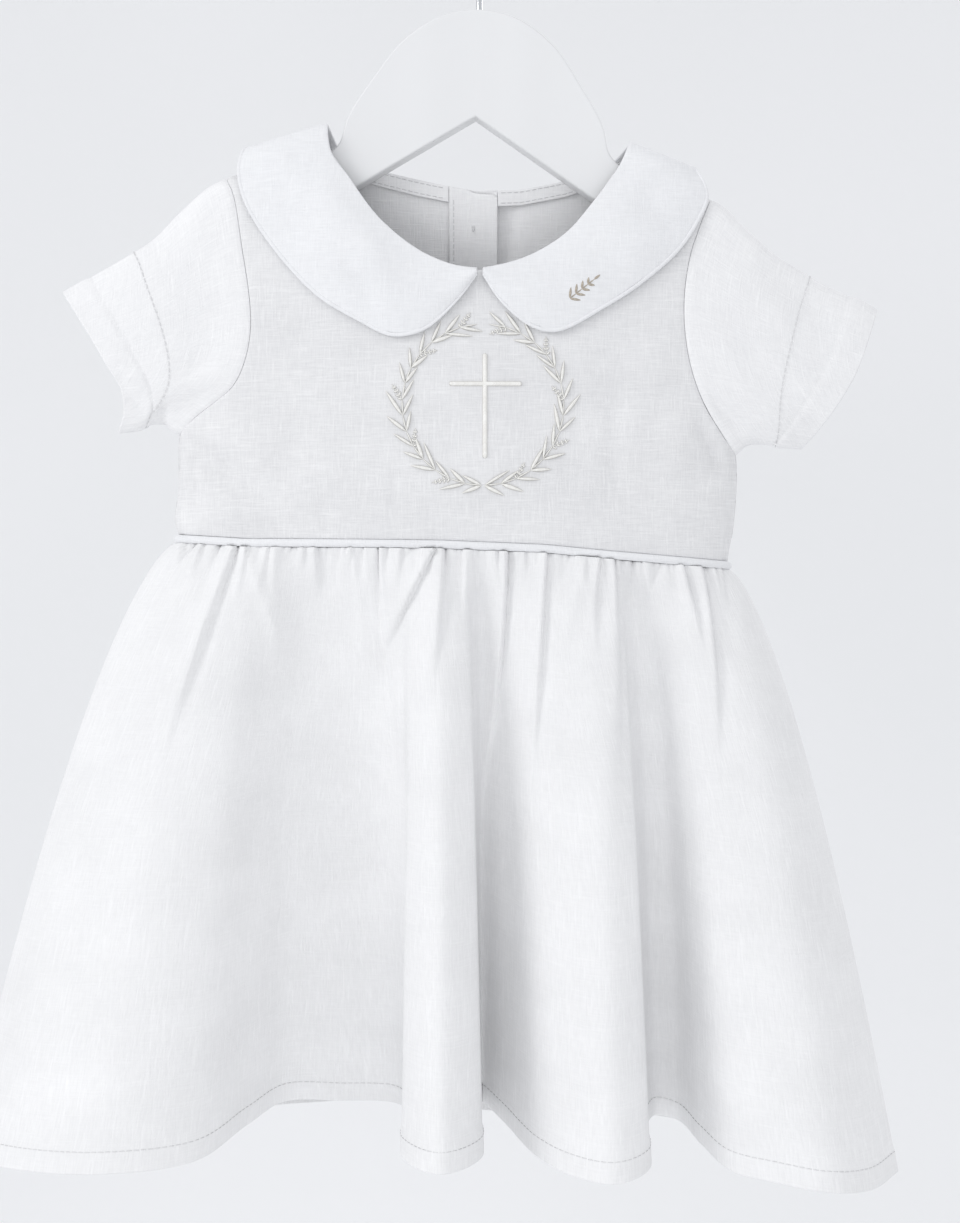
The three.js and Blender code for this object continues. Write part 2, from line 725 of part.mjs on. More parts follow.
// One skirt panel. Its folds run from the waist to the hem, and the gathers fade out below
// the waist. facing is -1 for the front panel and 1 for the back one.
function skirtPanel(folds, facing) {
  const hem = new THREE.CatmullRomCurve3(
    folds.map(({ x, y, z }) => new THREE.Vector3(x, y, z)),
    false,
    "centripetal",
  );
  const hemLengths = [0];
  folds.slice(1).forEach(({ x, y }, i) => {
    hemLengths.push(hemLengths[i] + Math.hypot(x - folds[i].x, y - folds[i].y));
  });
  const table = folds.map(({ waist }, i) => ({
    waist,
    hem: hemLengths[i] / hemLengths.at(-1),
    order: i / (folds.length - 1),
  }));
  const panel = SKIRT_ROWS.map(({ down, columns }) => {
    const byHem = smooth(down * 2);
    const spread = table.map(({ waist, hem: length }) => ({
      waist,
      progress: lerp(waist, length, byHem),
    }));
    return Array.from({ length: columns + 1 }, (_, j) => {
      const even = readAcross(spread, "progress", "waist", j / columns);
      const share = uneven(even);
      const x = lerp(leftFoot.x, rightFoot.x, share);
      const y = facing * Math.max(waistDepth(x), SKIRT_SEAM);
      const low = hem.getPoint(readAcross(table, "waist", "order", share));
      const angle = Math.acos(clamp((x - waistCentreX) / waistHalf, -1, 1));
      const out = new THREE.Vector3(
        Math.cos(angle) / waistHalf,
        (facing * Math.sin(angle)) / WAIST_DEPTH,
        0,
      ).normalize();
      const fade = clamp(1 - down / GATHER_FADE) ** GATHER_FADE_POWER;
      const wave = GATHER_HEIGHT * fade * Math.cos(2 * Math.PI * GATHERS * even);
      return new THREE.Vector3(
        lerp(x, low.x, down ** FLARE_POWER),
        lerp(y, low.y, down ** FOLD_POWER),
        lerp(waistZ(x) - WAIST_LIFT, low.z, down),
      ).addScaledVector(out, wave);
    });
  });
  return wallFromSheet(sheetFromRows(panel), CLOTH);
}

// Section of a shell button with a raised rim, as shares of its radius and its thickness.
const BUTTON_SECTION = rows("out up", [
  [0, 0],
  [0.9, 0],
  [1, 0.35],
  [1, 0.75],
  [0.82, 1],
  [0.66, 0.7],
  [0, 0.62],
]);

// A button with its axis along Y.
function button() {
  const profile = BUTTON_SECTION.map(
    ({ out, up }) => new THREE.Vector2(out * BUTTON_RADIUS, up * BUTTON_THICKNESS),
  );
  return new THREE.LatheGeometry(profile, BUTTON_SIDES);
}

// The hanger's outline, right half, measured from the top of its arch.
const HANGER_UPPER = rows("x z", [
  [0, 0],
  [18, -3.5],
  [36, -16],
  [49.5, -34.3],
  [61, -53.5],
  [65, -67],
  [73.5, -74.2],
  [90, -80.4],
  [104, -86.2],
]);
const HANGER_TIP = rows("x z", [
  [108.5, -91],
  [108, -99.5],
  [102, -104.5],
]);
const HANGER_LOWER = rows("x z", [
  [80, -97],
  [59, -89.3],
]);
const HANGER_APEX_Z = -51.4;

// A flat arch with a pointed opening, drawn down its right half and back up its left half.
function hangerBody() {
  const arch = [...HANGER_UPPER, ...HANGER_TIP];
  const shape = new THREE.Shape();
  shape.moveTo(arch[0].x, arch[0].z);
  shape.splineThru(arch.slice(1).map(({ x, z }) => new THREE.Vector2(x, z)));
  HANGER_LOWER.forEach(({ x, z }) => shape.lineTo(x, z));
  shape.lineTo(0, HANGER_APEX_Z);
  HANGER_LOWER.toReversed().forEach(({ x, z }) => shape.lineTo(-x, z));
  const [tip, ...upper] = arch.toReversed().map(({ x, z }) => new THREE.Vector2(-x, z));
  shape.lineTo(tip.x, tip.y);
  shape.splineThru(upper);
  const body = new THREE.ExtrudeGeometry(shape, {
    depth: HANGER_THICKNESS - 2 * HANGER_BEVEL,
    curveSegments: HANGER_SEGMENTS,
    bevelThickness: HANGER_BEVEL,
    bevelSize: HANGER_BEVEL,
    bevelOffset: -HANGER_BEVEL,
    bevelSegments: HANGER_SEGMENTS,
  });
  body.translate(0, 0, HANGER_BEVEL - HANGER_THICKNESS / 2);
  return body.rotateX(Math.PI / 2);
}

// A wire bent to a hook over a short stem.
function hook() {
  const radius = HOOK_INNER_RADIUS + WIRE_RADIUS;
  const stemFoot = HANGER_TOP_Z + HOOK_STEM_GAP;
  const bow = HOOK_BOW.map((degrees) => {
    const angle = THREE.MathUtils.degToRad(degrees);
    const [x, up] = [radius * Math.cos(angle), radius * Math.sin(angle)];
    return new THREE.Vector3(x, 0, up - HOOK_INNER_RADIUS);
  });
  const path = new THREE.CatmullRomCurve3([
    new THREE.Vector3(0, 0, stemFoot),
    new THREE.Vector3(0, 0, stemFoot + HOOK_STEM.straight),
    new THREE.Vector3(HOOK_STEM.bentX, 0, stemFoot + HOOK_STEM.bent),
    ...bow,
  ]);
  const section = new THREE.Shape().absarc(0, 0, WIRE_RADIUS, 0, 2 * Math.PI);
  return new THREE.ExtrudeGeometry(section, {
    extrudePath: path,
    steps: HOOK_STEPS,
    curveSegments: HOOK_SEGMENTS,
  });
}

const group = new THREE.Group();
group.add(piece("bodice_front", bodiceFront(), linen));
const backs = {
  left: {
    side: LEFT_SIDE,
    tip: leftTip,
    neck: leftNeck,
    foot: leftFoot,
    placketX: PLACKET_RIGHT_X,
    layer: () => 0,
  },
  right: {
    side: RIGHT_SIDE,
    tip: rightTip,
    neck: rightNeck,
    foot: rightFoot,
    placketX: PLACKET_LEFT_X,
    layer: overlapAt,
  },
};
for (const [name, back] of Object.entries(backs)) {
  group.add(piece(`bodice_back_${name}`, bodiceBack(back), linen));
}
group.add(piece("binding_left", neckBinding(BINDING_LEFT.fromX, BINDING_LEFT.toX), bindingLinen));
group.add(piece("binding_right", neckBinding(BINDING_RIGHT.fromX, BINDING_RIGHT.toX), bindingLinen));
group.add(piece("placket", placket(), bindingLinen));

const leftNecks = {
  neckFront: FRONT_NECK.filter(({ x }) => x < 0 && x > leftNeck.x).reverse(),
  neckBack: BACK_NECK.filter(({ x }) => x < COLLAR_END.left && x > leftNeck.x),
};
const rightNecks = {
  neckFront: FRONT_NECK.filter(({ x }) => x > 1 && x < rightNeck.x),
  neckBack: BACK_NECK.filter(({ x }) => x > COLLAR_END.right && x < rightNeck.x).reverse(),
};
const frontPoint = (side) => ({ x: side * COLLAR_FRONT_NECK.halfGap, z: COLLAR_FRONT_NECK.z });
const backPoint = (x) => ({ x, z: backNeckZ(x) });
group.add(
  piece(
    "collar_left",
    collarHalf({
      edge: LEFT_COLLAR_EDGE,
      top: LEFT_COLLAR_TOP,
      neckFront: [frontPoint(-1), ...leftNecks.neckFront],
      neckBack: [...leftNecks.neckBack, backPoint(COLLAR_END.left)],
    }),
    collarLinen,
  ),
  piece(
    "collar_right",
    collarHalf({
      edge: RIGHT_COLLAR_EDGE,
      top: RIGHT_COLLAR_TOP,
      neckFront: [frontPoint(1), ...rightNecks.neckFront],
      neckBack: [...rightNecks.neckBack, backPoint(COLLAR_END.right)],
    }),
    collarLinen,
  ),
);
group.add(
  piece(
    "sleeve_left",
    sleeve({ side: LEFT_SIDE, underarm: LEFT_UNDERARM, sleeveOutline: LEFT_SLEEVE }),
    linen,
  ),
  piece(
    "sleeve_right",
    sleeve({ side: RIGHT_SIDE, underarm: RIGHT_UNDERARM, sleeveOutline: RIGHT_SLEEVE }),
    linen,
  ),
);
group.add(piece("waist_piping", piping(), collarLinen));
group.add(piece("skirt_front", skirtPanel(FRONT_FOLDS, -1), linen));
group.add(piece("skirt_back", skirtPanel(BACK_FOLDS, 1), linen));

const buttonX = (PLACKET_LEFT_X + PLACKET_RIGHT_X) / 2;
for (let i = 0; i < BUTTON_COUNT; i += 1) {
  const z = BUTTON_TOP_Z - i * BUTTON_PITCH;
  const [above, below] = [z + BUTTON_RADIUS, z - BUTTON_RADIUS].map((at) => bodiceDepth(buttonX, at));
  const fastener = piece(`button_${i + 1}`, button(), shell);
  fastener.position.set(buttonX, (above + below) / 2 + OVERLAP + CLOTH / 2 + BUTTON_GAP, z);
  fastener.rotation.x = Math.atan2(below - above, 2 * BUTTON_RADIUS);
  group.add(fastener);
}

const hanger = new THREE.Group();
hanger.position.z = HANGER_TOP_Z;
hanger.rotation.y = HANGER_TILT;
hanger.add(piece("hanger_body", hangerBody(), paintedWood));
group.add(hanger);
group.add(piece("hanger_hook", hook(), steel));

export default group;
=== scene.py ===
# The looks of a baby's linen christening gown that hangs from a white wooden clothes hanger.
# Sizes and tables are in millimetres in the part's own frame, +Z up and the front towards -Y.
# Meshes are made in metres.
import math

import bmesh
import bpy
import numpy as np
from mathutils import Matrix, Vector
from mathutils.bvhtree import BVHTree


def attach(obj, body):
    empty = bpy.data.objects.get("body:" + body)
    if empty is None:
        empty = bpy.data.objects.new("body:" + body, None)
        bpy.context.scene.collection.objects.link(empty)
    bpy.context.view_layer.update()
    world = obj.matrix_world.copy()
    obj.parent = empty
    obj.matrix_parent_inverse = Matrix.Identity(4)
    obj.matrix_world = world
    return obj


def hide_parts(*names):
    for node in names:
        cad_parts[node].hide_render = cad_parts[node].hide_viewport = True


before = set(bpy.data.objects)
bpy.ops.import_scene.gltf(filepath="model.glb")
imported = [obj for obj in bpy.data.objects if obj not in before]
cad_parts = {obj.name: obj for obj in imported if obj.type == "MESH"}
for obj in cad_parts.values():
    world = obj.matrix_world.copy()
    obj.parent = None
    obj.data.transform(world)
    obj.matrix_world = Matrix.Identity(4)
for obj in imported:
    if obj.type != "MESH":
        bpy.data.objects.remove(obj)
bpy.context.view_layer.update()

MM = 0.001

# Cloth sizes
LINEN = 0.8  # one layer of the bodice, sleeves and skirt
COLLAR_CLOTH = 1.7  # two layers, with the turned edge between them
HEM_CLOTH = 1.5  # where a hem is turned up
BINDING_CLOTH = 0.9
SEAM_GAP = 0.45  # from the middle plane to the middle of the cloth in a seam
PIPING_RADIUS = 1.9
WAIST_LIFT = PIPING_RADIUS + 0.1  # from the middle of the cord to the panels' edges

# Half the depth of the bodice, measured from the middle plane, and where it is reached
SHOULDER_DEPTH = 9
CHEST_DEPTH = 18
WAIST_DEPTH = 22
CHEST_DROP = 65
WAIST_DROP = 190
SHOULDER_ROUND = 8
SLEEVE_SPREAD = 30

# Back opening, collar, neck binding and sleeves
PLACKET_LEFT_X = -15
PLACKET_RIGHT_X = 8.5
OVERLAP = 2.0
COLLAR_OFFSET = 2.3
COLLAR_PUFF = 2.2
COLLAR_ROUND = 13
COLLAR_LEFT_END = -9
COLLAR_RIGHT_END = 6.8
BINDING_WIDTH = 8
BINDING_OFFSET = 1.7
SLEEVE_DEPTH = 12
CUFF_DEPTH = 9
ARMHOLE_GAP = 0.15
SLEEVE_CUT = 236  # how far the sleeve's cloth goes round, flat

# Skirt
SKIRT_SEAM = 0.15  # from the middle plane to the side seams
FRONT_WIDTH = 560  # the skirt panels' cuts, before they are gathered
BACK_WIDTH = 460
SKIRT_LENGTH = 310
FLARE_POWER = 0.67
FOLD_POWER = 0.85

# About how wide and tall the pieces are as they hang, to place the points near their edges
FRONT_SIZE = (250, 190)
BACK_SIZE = (150, 170)
SLEEVE_SIZE = 75
COLLAR_SIZE = 85
SKIRT_SIZE = (500, 290)


def table(names, values):
    """The columns of a small table of sizes, by name."""
    return dict(zip(names.split(), np.array(values, float).T))


LEFT_SIDE = table("x z", [
    [-145, -310.6],
    [-146.5, -302],
    [-145.3, -291],
    [-144.5, -278],
    [-144, -261],
    [-136.5, -254],
    [-125.4, -246],
    [-117, -239],
    [-111.5, -228],
    [-108.5, -213],
    [-109, -197],
    [-112.8, -173],
    [-117.5, -147],
    [-121.4, -138],
])
RIGHT_SIDE = table("x z", [
    [119, -323.5],
    [121.5, -306],
    [123, -290],
    [123.2, -279],
    [122.5, -271],
    [116.5, -263],
    [105.8, -246],
    [99.7, -229],
    [96.8, -211],
    [96.8, -195],
    [99.7, -177],
    [105, -161],
    [110.4, -148],
])
UNDERARM = 4  # the row of either side that is its underarm point
FRONT_NECK = table("x z", [
    [-74, -121.8],
    [-70.3, -128],
    [-63, -138.5],
    [-47.7, -160],
    [-29.2, -175.5],
    [-14, -182.5],
    [0, -185],
    [21.6, -179],
    [39.6, -168],
    [53.4, -152],
    [65.5, -135],
    [72.5, -127.2],
])
BACK_NECK = table("x z", [
    [-74, -121.8],
    [-64, -127],
    [-49, -131.5],
    [-30, -136],
    [-12, -139.5],
    [0, -141],
    [20, -140.5],
    [42, -136.5],
    [60, -130.8],
    [72.5, -127.2],
])
WAIST = table("x z", [
    [-145, -310.6],
    [-111, -313],
    [-60, -313.5],
    [-20, -314],
    [30, -316],
    [62, -319],
    [100, -322],
    [119, -323.5],
])
LEFT_COLLAR_FRONT = table("x z", [
    [-1.6, -187],
    [-11.2, -200.5],
    [-26.2, -213.8],
    [-41.2, -216.6],
    [-57.7, -209],
    [-77, -197],
    [-97, -175.3],
    [-111.6, -152],
    [-115.3, -137],
    [-113.5, -124],
])
LEFT_COLLAR_BACK = table("x z", [
    [-113.5, -124],
    [-115, -140],
    [-110, -157],
    [-97, -172],
    [-76, -182],
    [-50, -187],
    [-26, -187],
    [-13, -180],
    [-9.5, -164],
    [-9, -143],
])
RIGHT_COLLAR_FRONT = table("x z", [
    [1.6, -187],
    [9.8, -200.3],
    [24.4, -212.4],
    [36.6, -214.3],
    [57.7, -203.5],
    [77, -190.7],
    [93.7, -175.5],
    [103, -162],
    [108.6, -148],
    [102.8, -133],
])
RIGHT_COLLAR_BACK = table("x z", [
    [102.8, -133],
    [107, -149],
    [103, -165],
    [91, -178],
    [72, -187],
    [48, -191],
    [26, -190],
    [12, -183],
    [7.5, -167],
    [6.8, -145],
])
LEFT_COLLAR_TOP = table("x z", [[-113.5, -124], [-72.8, -112]])
RIGHT_COLLAR_TOP = table("x z", [[71.8, -121], [102.8, -133]])
LEFT_SLEEVE_TOP = table("x z", [
    [-121.4, -138],
    [-130, -142.5],
    [-144.5, -155.4],
    [-156.5, -167.5],
    [-170, -176],
    [-187.7, -186.2],
    [-199.7, -193],
])
LEFT_SLEEVE_UNDER = table("x z", [
    [-144, -261],
    [-149, -257.5],
    [-156, -255.3],
    [-164, -258],
    [-173.3, -259.1],
])
LEFT_CUFF = table("x z", [
    [-173.3, -259.1],
    [-170, -251],
    [-171, -240],
    [-178.3, -227],
    [-187, -212.5],
    [-199.7, -193],
])
RIGHT_SLEEVE_TOP = table("x z", [
    [110.4, -148],
    [116.6, -151.6],
    [125.8, -160.7],
    [140.6, -174],
    [150.7, -180.4],
    [165.6, -189.5],
    [183.8, -197.6],
    [190.1, -201.5],
])
RIGHT_SLEEVE_UNDER = table("x z", [
    [122.5, -271],
    [127, -266.3],
    [133, -265],
    [142, -265.6],
    [154.6, -266.8],
])
RIGHT_CUFF = table("x z", [
    [154.6, -266.8],
    [161.5, -259],
    [171, -246],
    [179, -232],
    [184.8, -217],
    [190.1, -201.5],
])

# Each row is a ridge or a valley from the waist to the hem: its share of the way across the
# panel at the waist, and its place at the hem
FRONT_FOLDS = table("waist x y z", [
    [0, -251, 12, -607.5],
    [0.035, -222, -25, -604.5],
    [0.095, -173, -48, -600.5],
    [0.15, -133, -35, -599],
    [0.2, -113, 5, -593.5],
    [0.24, -97, 35, -590],
    [0.28, -71, 45, -592.5],
    [0.34, -42, 44, -593.5],
    [0.4, -32, 10, -596],
    [0.44, -36, -22, -600.5],
    [0.479, -18, -45, -601.5],
    [0.515, 0, -24, -600.5],
    [0.535, -3, 14, -595],
    [0.55, 1, 39, -591.5],
    [0.585, 12, 20, -596],
    [0.64, 28, -15, -603],
    [0.7, 44, -32, -606.5],
    [0.75, 62, -40, -607.5],
    [0.785, 78, -26, -605.5],
    [0.8, 79, 8, -600],
    [0.815, 88, 37, -597.5],
    [0.84, 99, 33, -599],
    [0.87, 108, 6, -603.5],
    [0.9, 119, -14, -609.5],
    [0.94, 140, -25, -612],
    [0.965, 163, -28, -615.5],
    [0.985, 184, -16, -618],
    [1, 202, 7, -616.5],
])
BACK_FOLDS = table("waist x y z", [
    [0, -251, 12.3, -607.5],
    [0.05, -226, 52, -604],
    [0.12, -186, 76, -601],
    [0.2, -148, 71, -600],
    [0.26, -124, 60, -600],
    [0.34, -92, 74, -602],
    [0.41, -60, 88, -604],
    [0.48, -28, 80, -604],
    [0.54, -2, 62, -602],
    [0.61, 30, 72, -606],
    [0.68, 58, 87, -609],
    [0.75, 88, 78, -609],
    [0.81, 112, 60, -608],
    [0.88, 142, 66, -612],
    [0.94, 172, 58, -615],
    [0.97, 190, 36, -617],
    [1, 202, 7.3, -616.5],
])


def lerp(a, b, share):
    return a + (b - a) * share


def smooth(value):
    value = np.clip(value, 0, 1)
    return value**2 * (3 - 2 * value)


def rise(distance, width):
    """0 to 1 as a distance goes from half a width below zero to half a width above it."""
    return smooth(distance / width + 0.5)


def bell(value):
    """A soft bump of height and half width 1."""
    return np.exp(-(value**2))


def points_of(rows, names="xz"):
    return np.stack([rows[name] for name in names], axis=1)


def spline(points):
    """A centripetal Catmull-Rom curve through the points, read by row number."""
    points = np.asarray(points, float)
    last = len(points) - 1
    padded = np.vstack([2 * points[0] - points[1], points, 2 * points[-1] - points[-2]])
    steps = np.linalg.norm(np.diff(padded, axis=0), axis=1) ** 0.5

    def read(where):
        where = np.clip(np.asarray(where, float), 0, last)
        row = np.minimum(where.astype(int), last - 1)
        t = (where - row)[..., None]
        a, b, c, d = (padded[row + k] for k in range(4))
        before, here, after = (steps[row + k][..., None] for k in range(3))
        leave = ((b - a) / before - (c - a) / (before + here) + (c - b) / here) * here
        arrive = ((c - b) / here - (d - b) / (here + after) + (d - c) / after) * here
        square = (-3 * b + 3 * c - 2 * leave - arrive) * t**2
        return b + leave * t + square + (2 * b - 2 * c + leave + arrive) * t**3

    return read


def outline(points, samples=500):
    """The same curve read by its share of the way along."""
    curve = spline(points)(np.linspace(0, len(points) - 1, samples))
    along = run_of(curve)

    def read(share):
        wanted = np.clip(share, 0, 1) * along[-1]
        return np.stack([np.interp(wanted, along, axis) for axis in curve.T], axis=-1)

    return read


def straight(start, end):
    return lambda share: lerp(np.array(start), np.array(end), np.asarray(share)[..., None])


def run_of(points, axis=0):
    """How far along each point is, on a line of points or on each line of a grid."""
    run = np.cumsum(np.linalg.norm(np.diff(points, axis=axis), axis=-1), axis=axis)
    return np.insert(run, 0, 0, axis=axis)


left_foot, right_foot = points_of(LEFT_SIDE)[0], points_of(RIGHT_SIDE)[0]
left_tip, right_tip = points_of(LEFT_SIDE)[-1], points_of(RIGHT_SIDE)[-1]
left_neck, right_neck = points_of(FRONT_NECK)[0], points_of(FRONT_NECK)[-1]
SHOULDERS = table("x z", [left_tip, left_neck, right_neck, right_tip])


def height_at(rows, x):
    """The z of a table of x and z, at an x."""
    return np.interp(x, rows["x"], rows["z"])


def shoulder_line(x):
    return height_at(SHOULDERS, x)


def waist_x(share):
    return lerp(left_foot[0], right_foot[0], share)


def waist_z(x):
    return height_at(WAIST, x)


def folded_over(drop, radius):
    """How round the cloth is below the line that it is folded over: 0 on it, 1 clear of it."""
    return np.sqrt(1 - (1 - np.clip(drop / radius, 0, 1)) ** 2)


def lens_end(side, z):
    """Where the lens of the bodice ends: the side seam, and further out above the underarm."""
    x, top = side["x"][UNDERARM], side["z"][UNDERARM]
    seam = np.interp(z, side["z"][: UNDERARM + 1], side["x"][: UNDERARM + 1])
    spread = SLEEVE_SPREAD * np.clip((z - top) / (shoulder_line(0) - top), 0, 1)
    return np.where(z <= top, seam, x + np.sign(x) * spread)


def lens_depth(x, z):
    """Half the depth of the garment, flattest at the shoulders and fullest at the waist."""
    drop = shoulder_line(x) - z
    left, right = lens_end(LEFT_SIDE, z), lens_end(RIGHT_SIDE, z)
    across = (2 * x - left - right) / (right - left)
    chest = (CHEST_DEPTH - SHOULDER_DEPTH) * smooth(drop / CHEST_DROP)
    below = smooth((drop - CHEST_DROP) / (WAIST_DROP - CHEST_DROP))
    full = SHOULDER_DEPTH + chest + (WAIST_DEPTH - CHEST_DEPTH) * below
    return full * np.sqrt(np.maximum(1 - across**2, 0))


def bodice_depth(x, z):
    return lens_depth(x, z) * folded_over(shoulder_line(x) - z, SHOULDER_ROUND)


CREASE_ENDS = 0.35  # the share of a crease over which it fades at either end


def creases(x, z, rows):
    """Height of soft ridges and troughs, each along a bowed line between two points."""
    height = np.zeros(np.shape(x))
    for from_x, from_z, to_x, to_z, width, tall, bow in rows:
        length = math.hypot(to_x - from_x, to_z - from_z)
        run_x, run_z = (to_x - from_x) / length, (to_z - from_z) / length
        along = ((x - from_x) * run_x + (z - from_z) * run_z) / length
        across = (z - from_z) * run_x - (x - from_x) * run_z - 4 * bow * along * (1 - along)
        ends = smooth(along / CREASE_ENDS) * smooth((1 - along) / CREASE_ENDS)
        height += tall * bell(across / width) * ends
    return height


def normals_of(points, closed=False):
    """Unit normals of a grid of points: columns crossed with rows."""
    if closed:
        across = np.roll(points, -1, axis=1) - np.roll(points, 1, axis=1)
    else:
        across = np.gradient(points, axis=1)
    normal = np.cross(across, np.gradient(points, axis=0))
    return normal / np.maximum(np.linalg.norm(normal, axis=2, keepdims=True), 1e-9)


def facing_to(points, toward, closed=False):
    """The normals of a grid, on the side that toward points to."""
    normal = normals_of(points, closed)
    return -normal if (normal * toward).sum() < 0 else normal


def moved_out(points, height, toward, closed=False):
    """Moves a grid along its normals, out to the side that toward points to."""
    return points + facing_to(points, toward, closed) * np.asarray(height)[..., None]


def edge_distance(points, closed=False):
    """How far each point of a grid is from the nearest of its open edges."""
    down = run_of(points)
    near = np.minimum(down, down[-1:] - down)
    if closed:
        return near
    across = run_of(points, 1)
    return np.minimum(near, np.minimum(across, across[:, -1:] - across))


def in_scene(name, data):
    """A new object in the scene that shows a mesh, camera or light."""
    made = bpy.data.objects.new(name, data)
    bpy.context.scene.collection.objects.link(made)
    return made


def new_object(name, vertices, faces, uv=None, material=None):
    """A mesh object from millimetre points, with its weave coordinates in metres."""
    mesh = bpy.data.meshes.new(name)
    mesh.from_pydata((np.asarray(vertices) * MM).tolist(), [], faces)
    if uv is not None:
        layer = mesh.uv_layers.new(name="weave")
        layer.uv.foreach_set("vector", (np.asarray(uv, float) * MM).ravel())
    mesh.polygons.foreach_set("use_smooth", [True] * len(mesh.polygons))
    if material:
        mesh.materials.append(material)
    mesh.validate()
    return in_scene(name, mesh)


def cloth(name, points, thickness, weave, material, closed=False):
    """Cloth with round edges, from a grid of its middle points and of its weave coordinates.

    Both faces of the cloth share the points of its edges. A closed grid is a tube, and its
    weave has one column more than it has points.
    """
    rows, columns = points.shape[:2]
    half = np.broadcast_to(thickness, (rows, columns)) / 2
    near = np.clip(edge_distance(points, closed) / half, 0, 1)
    offset = normals_of(points, closed) * (half * np.sqrt(1 - (1 - near) ** 2))[..., None]
    outer = np.arange(rows * columns).reshape(rows, columns)
    on_edge = np.zeros((rows, columns), bool)
    on_edge[[0, -1]] = True
    if not closed:
        on_edge[:, [0, -1]] = True
    inner = outer.copy()
    inner[~on_edge] = rows * columns + np.arange((~on_edge).sum())
    vertices = np.vstack([(points + offset).reshape(-1, 3), (points - offset)[~on_edge]])
    row, column = np.mgrid[0 : rows - 1, 0 : columns if closed else columns - 1]
    row, column = row.ravel(), column.ravel()
    corners = [(row, column), (row, column + 1), (row + 1, column + 1), (row + 1, column)]
    faces, uv = [], []
    for index, order in ((outer, corners), (inner, corners[::-1])):
        faces.append(np.stack([index[r, c % columns] for r, c in order], axis=1))
        uv.append(np.stack([weave[r, c] for r, c in order], axis=1))
    faces = np.concatenate(faces).tolist()
    return new_object(name, vertices, faces, np.concatenate(uv), material)


def outward(piece):
    """Turns the faces of a closed mesh to face out."""
    mesh = bmesh.new()
    mesh.from_mesh(piece.data)
    bmesh.ops.recalc_face_normals(mesh, faces=mesh.faces)
    mesh.to_mesh(piece.data)
    mesh.free()


CROWDING = 0.6  # 0 for even steps, 1 for steps that follow a half circle
EDGE_STEPS = np.array([0.06, 0.2, 0.42, 0.75, 1.1])  # times half the thickness of the cloth


def finer(shares, times):
    """Shares of the way, with each step cut into equal smaller ones."""
    shares = np.asarray(shares, float)
    places = np.arange((len(shares) - 1) * times + 1) / times
    return np.interp(places, np.arange(len(shares)), shares)


def with_round_edges(shares, length, thickness):
    """Adds shares close to both ends, where the edge of the cloth turns round."""
    near = EDGE_STEPS * thickness / 2 / length
    return np.unique(np.concatenate([shares, near, 1 - near]))


def crowded(count):
    """Shares that crowd a little towards both ends."""
    even = np.linspace(0, 1, count + 1)
    return lerp(even, 0.5 - 0.5 * np.cos(np.pi * even), CROWDING)


def mixed(low, high, start, end, across, down):
    """A grid blended between four edges, each given as its points along the way."""
    u, v = across[None, :, None], down[:, None, None]
    flat = lerp(lerp(low[0], low[-1], u), lerp(high[0], high[-1], u), v)
    return lerp(low[None], high[None], v) + lerp(start[:, None], end[:, None], u) - flat


# Rows of a bodice panel, closer together where it passes over the hanger
BODICE_ROWS = [
    0, 0.1, 0.2, 0.27, 0.32, 0.37, 0.42, 0.48, 0.55, 0.63, 0.72, 0.81, 0.88, 0.93, 0.965, 0.985, 1,
]
FRONT_COLUMNS, FRONT_NECK_COLUMN = 26, 5
BACK_COLUMNS, BACK_NECK_COLUMN = 16, 4
FRONT = np.array([0, -1, 0])
BACK = np.array([0, 1, 0])


def raised_side(side):
    points = points_of(side)
    points[0, 1] += WAIST_LIFT
    return outline(points)


def waist_edge(x):
    return np.stack([x, waist_z(x) + WAIST_LIFT], axis=-1)


def seam_dip(distance, depth=0.7, width=3.0):
    """How far cloth turns in near a seam, by the distance to it."""
    return -depth * (1 - np.clip(distance / width, 0, 1)) ** 2


def placed(flat, depth):
    """Front-view points with their depth, as x, y, z."""
    return np.stack([flat[..., 0], depth, flat[..., 1]], axis=-1)


def by_front_view(points):
    return points[..., [0, 2]]


SIDE_SLOPE = 1.2  # how steeply a panel leaves its side seam
SIDE_GAP = 0.1  # the least distance of a panel from the middle plane
UNDERARM_FADE = 12  # how far round the underarm the side seam opens into the armhole
FRONT_FINER = (6, 6)  # how often each column and row is cut again
BACK_FINER = (6, 5)


def panel_depth(flat, sides, on_shoulder):
    """Half the depth at a panel's middle, with its side and shoulder seams closed.

    sides holds the column of each side edge with its table.
    """
    depth = np.maximum(bodice_depth(flat[..., 0], flat[..., 1]), SEAM_GAP)
    for column, side in sides:
        inward = np.abs(flat[..., 0] - flat[:, column, None, 0])
        above = rise(flat[..., 1] - side["z"][UNDERARM], UNDERARM_FADE)
        depth = np.minimum(depth, SEAM_GAP + SIDE_SLOPE * inward + 2 * WAIST_DEPTH * above)
    depth[-1, on_shoulder] = SEAM_GAP
    return depth


def panel_steps(columns, size, times):
    """Shares across and down a bodice panel."""
    return (with_round_edges(finer(columns, times[0]), size[0], LINEN),
            with_round_edges(finer(BODICE_ROWS, times[1]), size[1], LINEN))


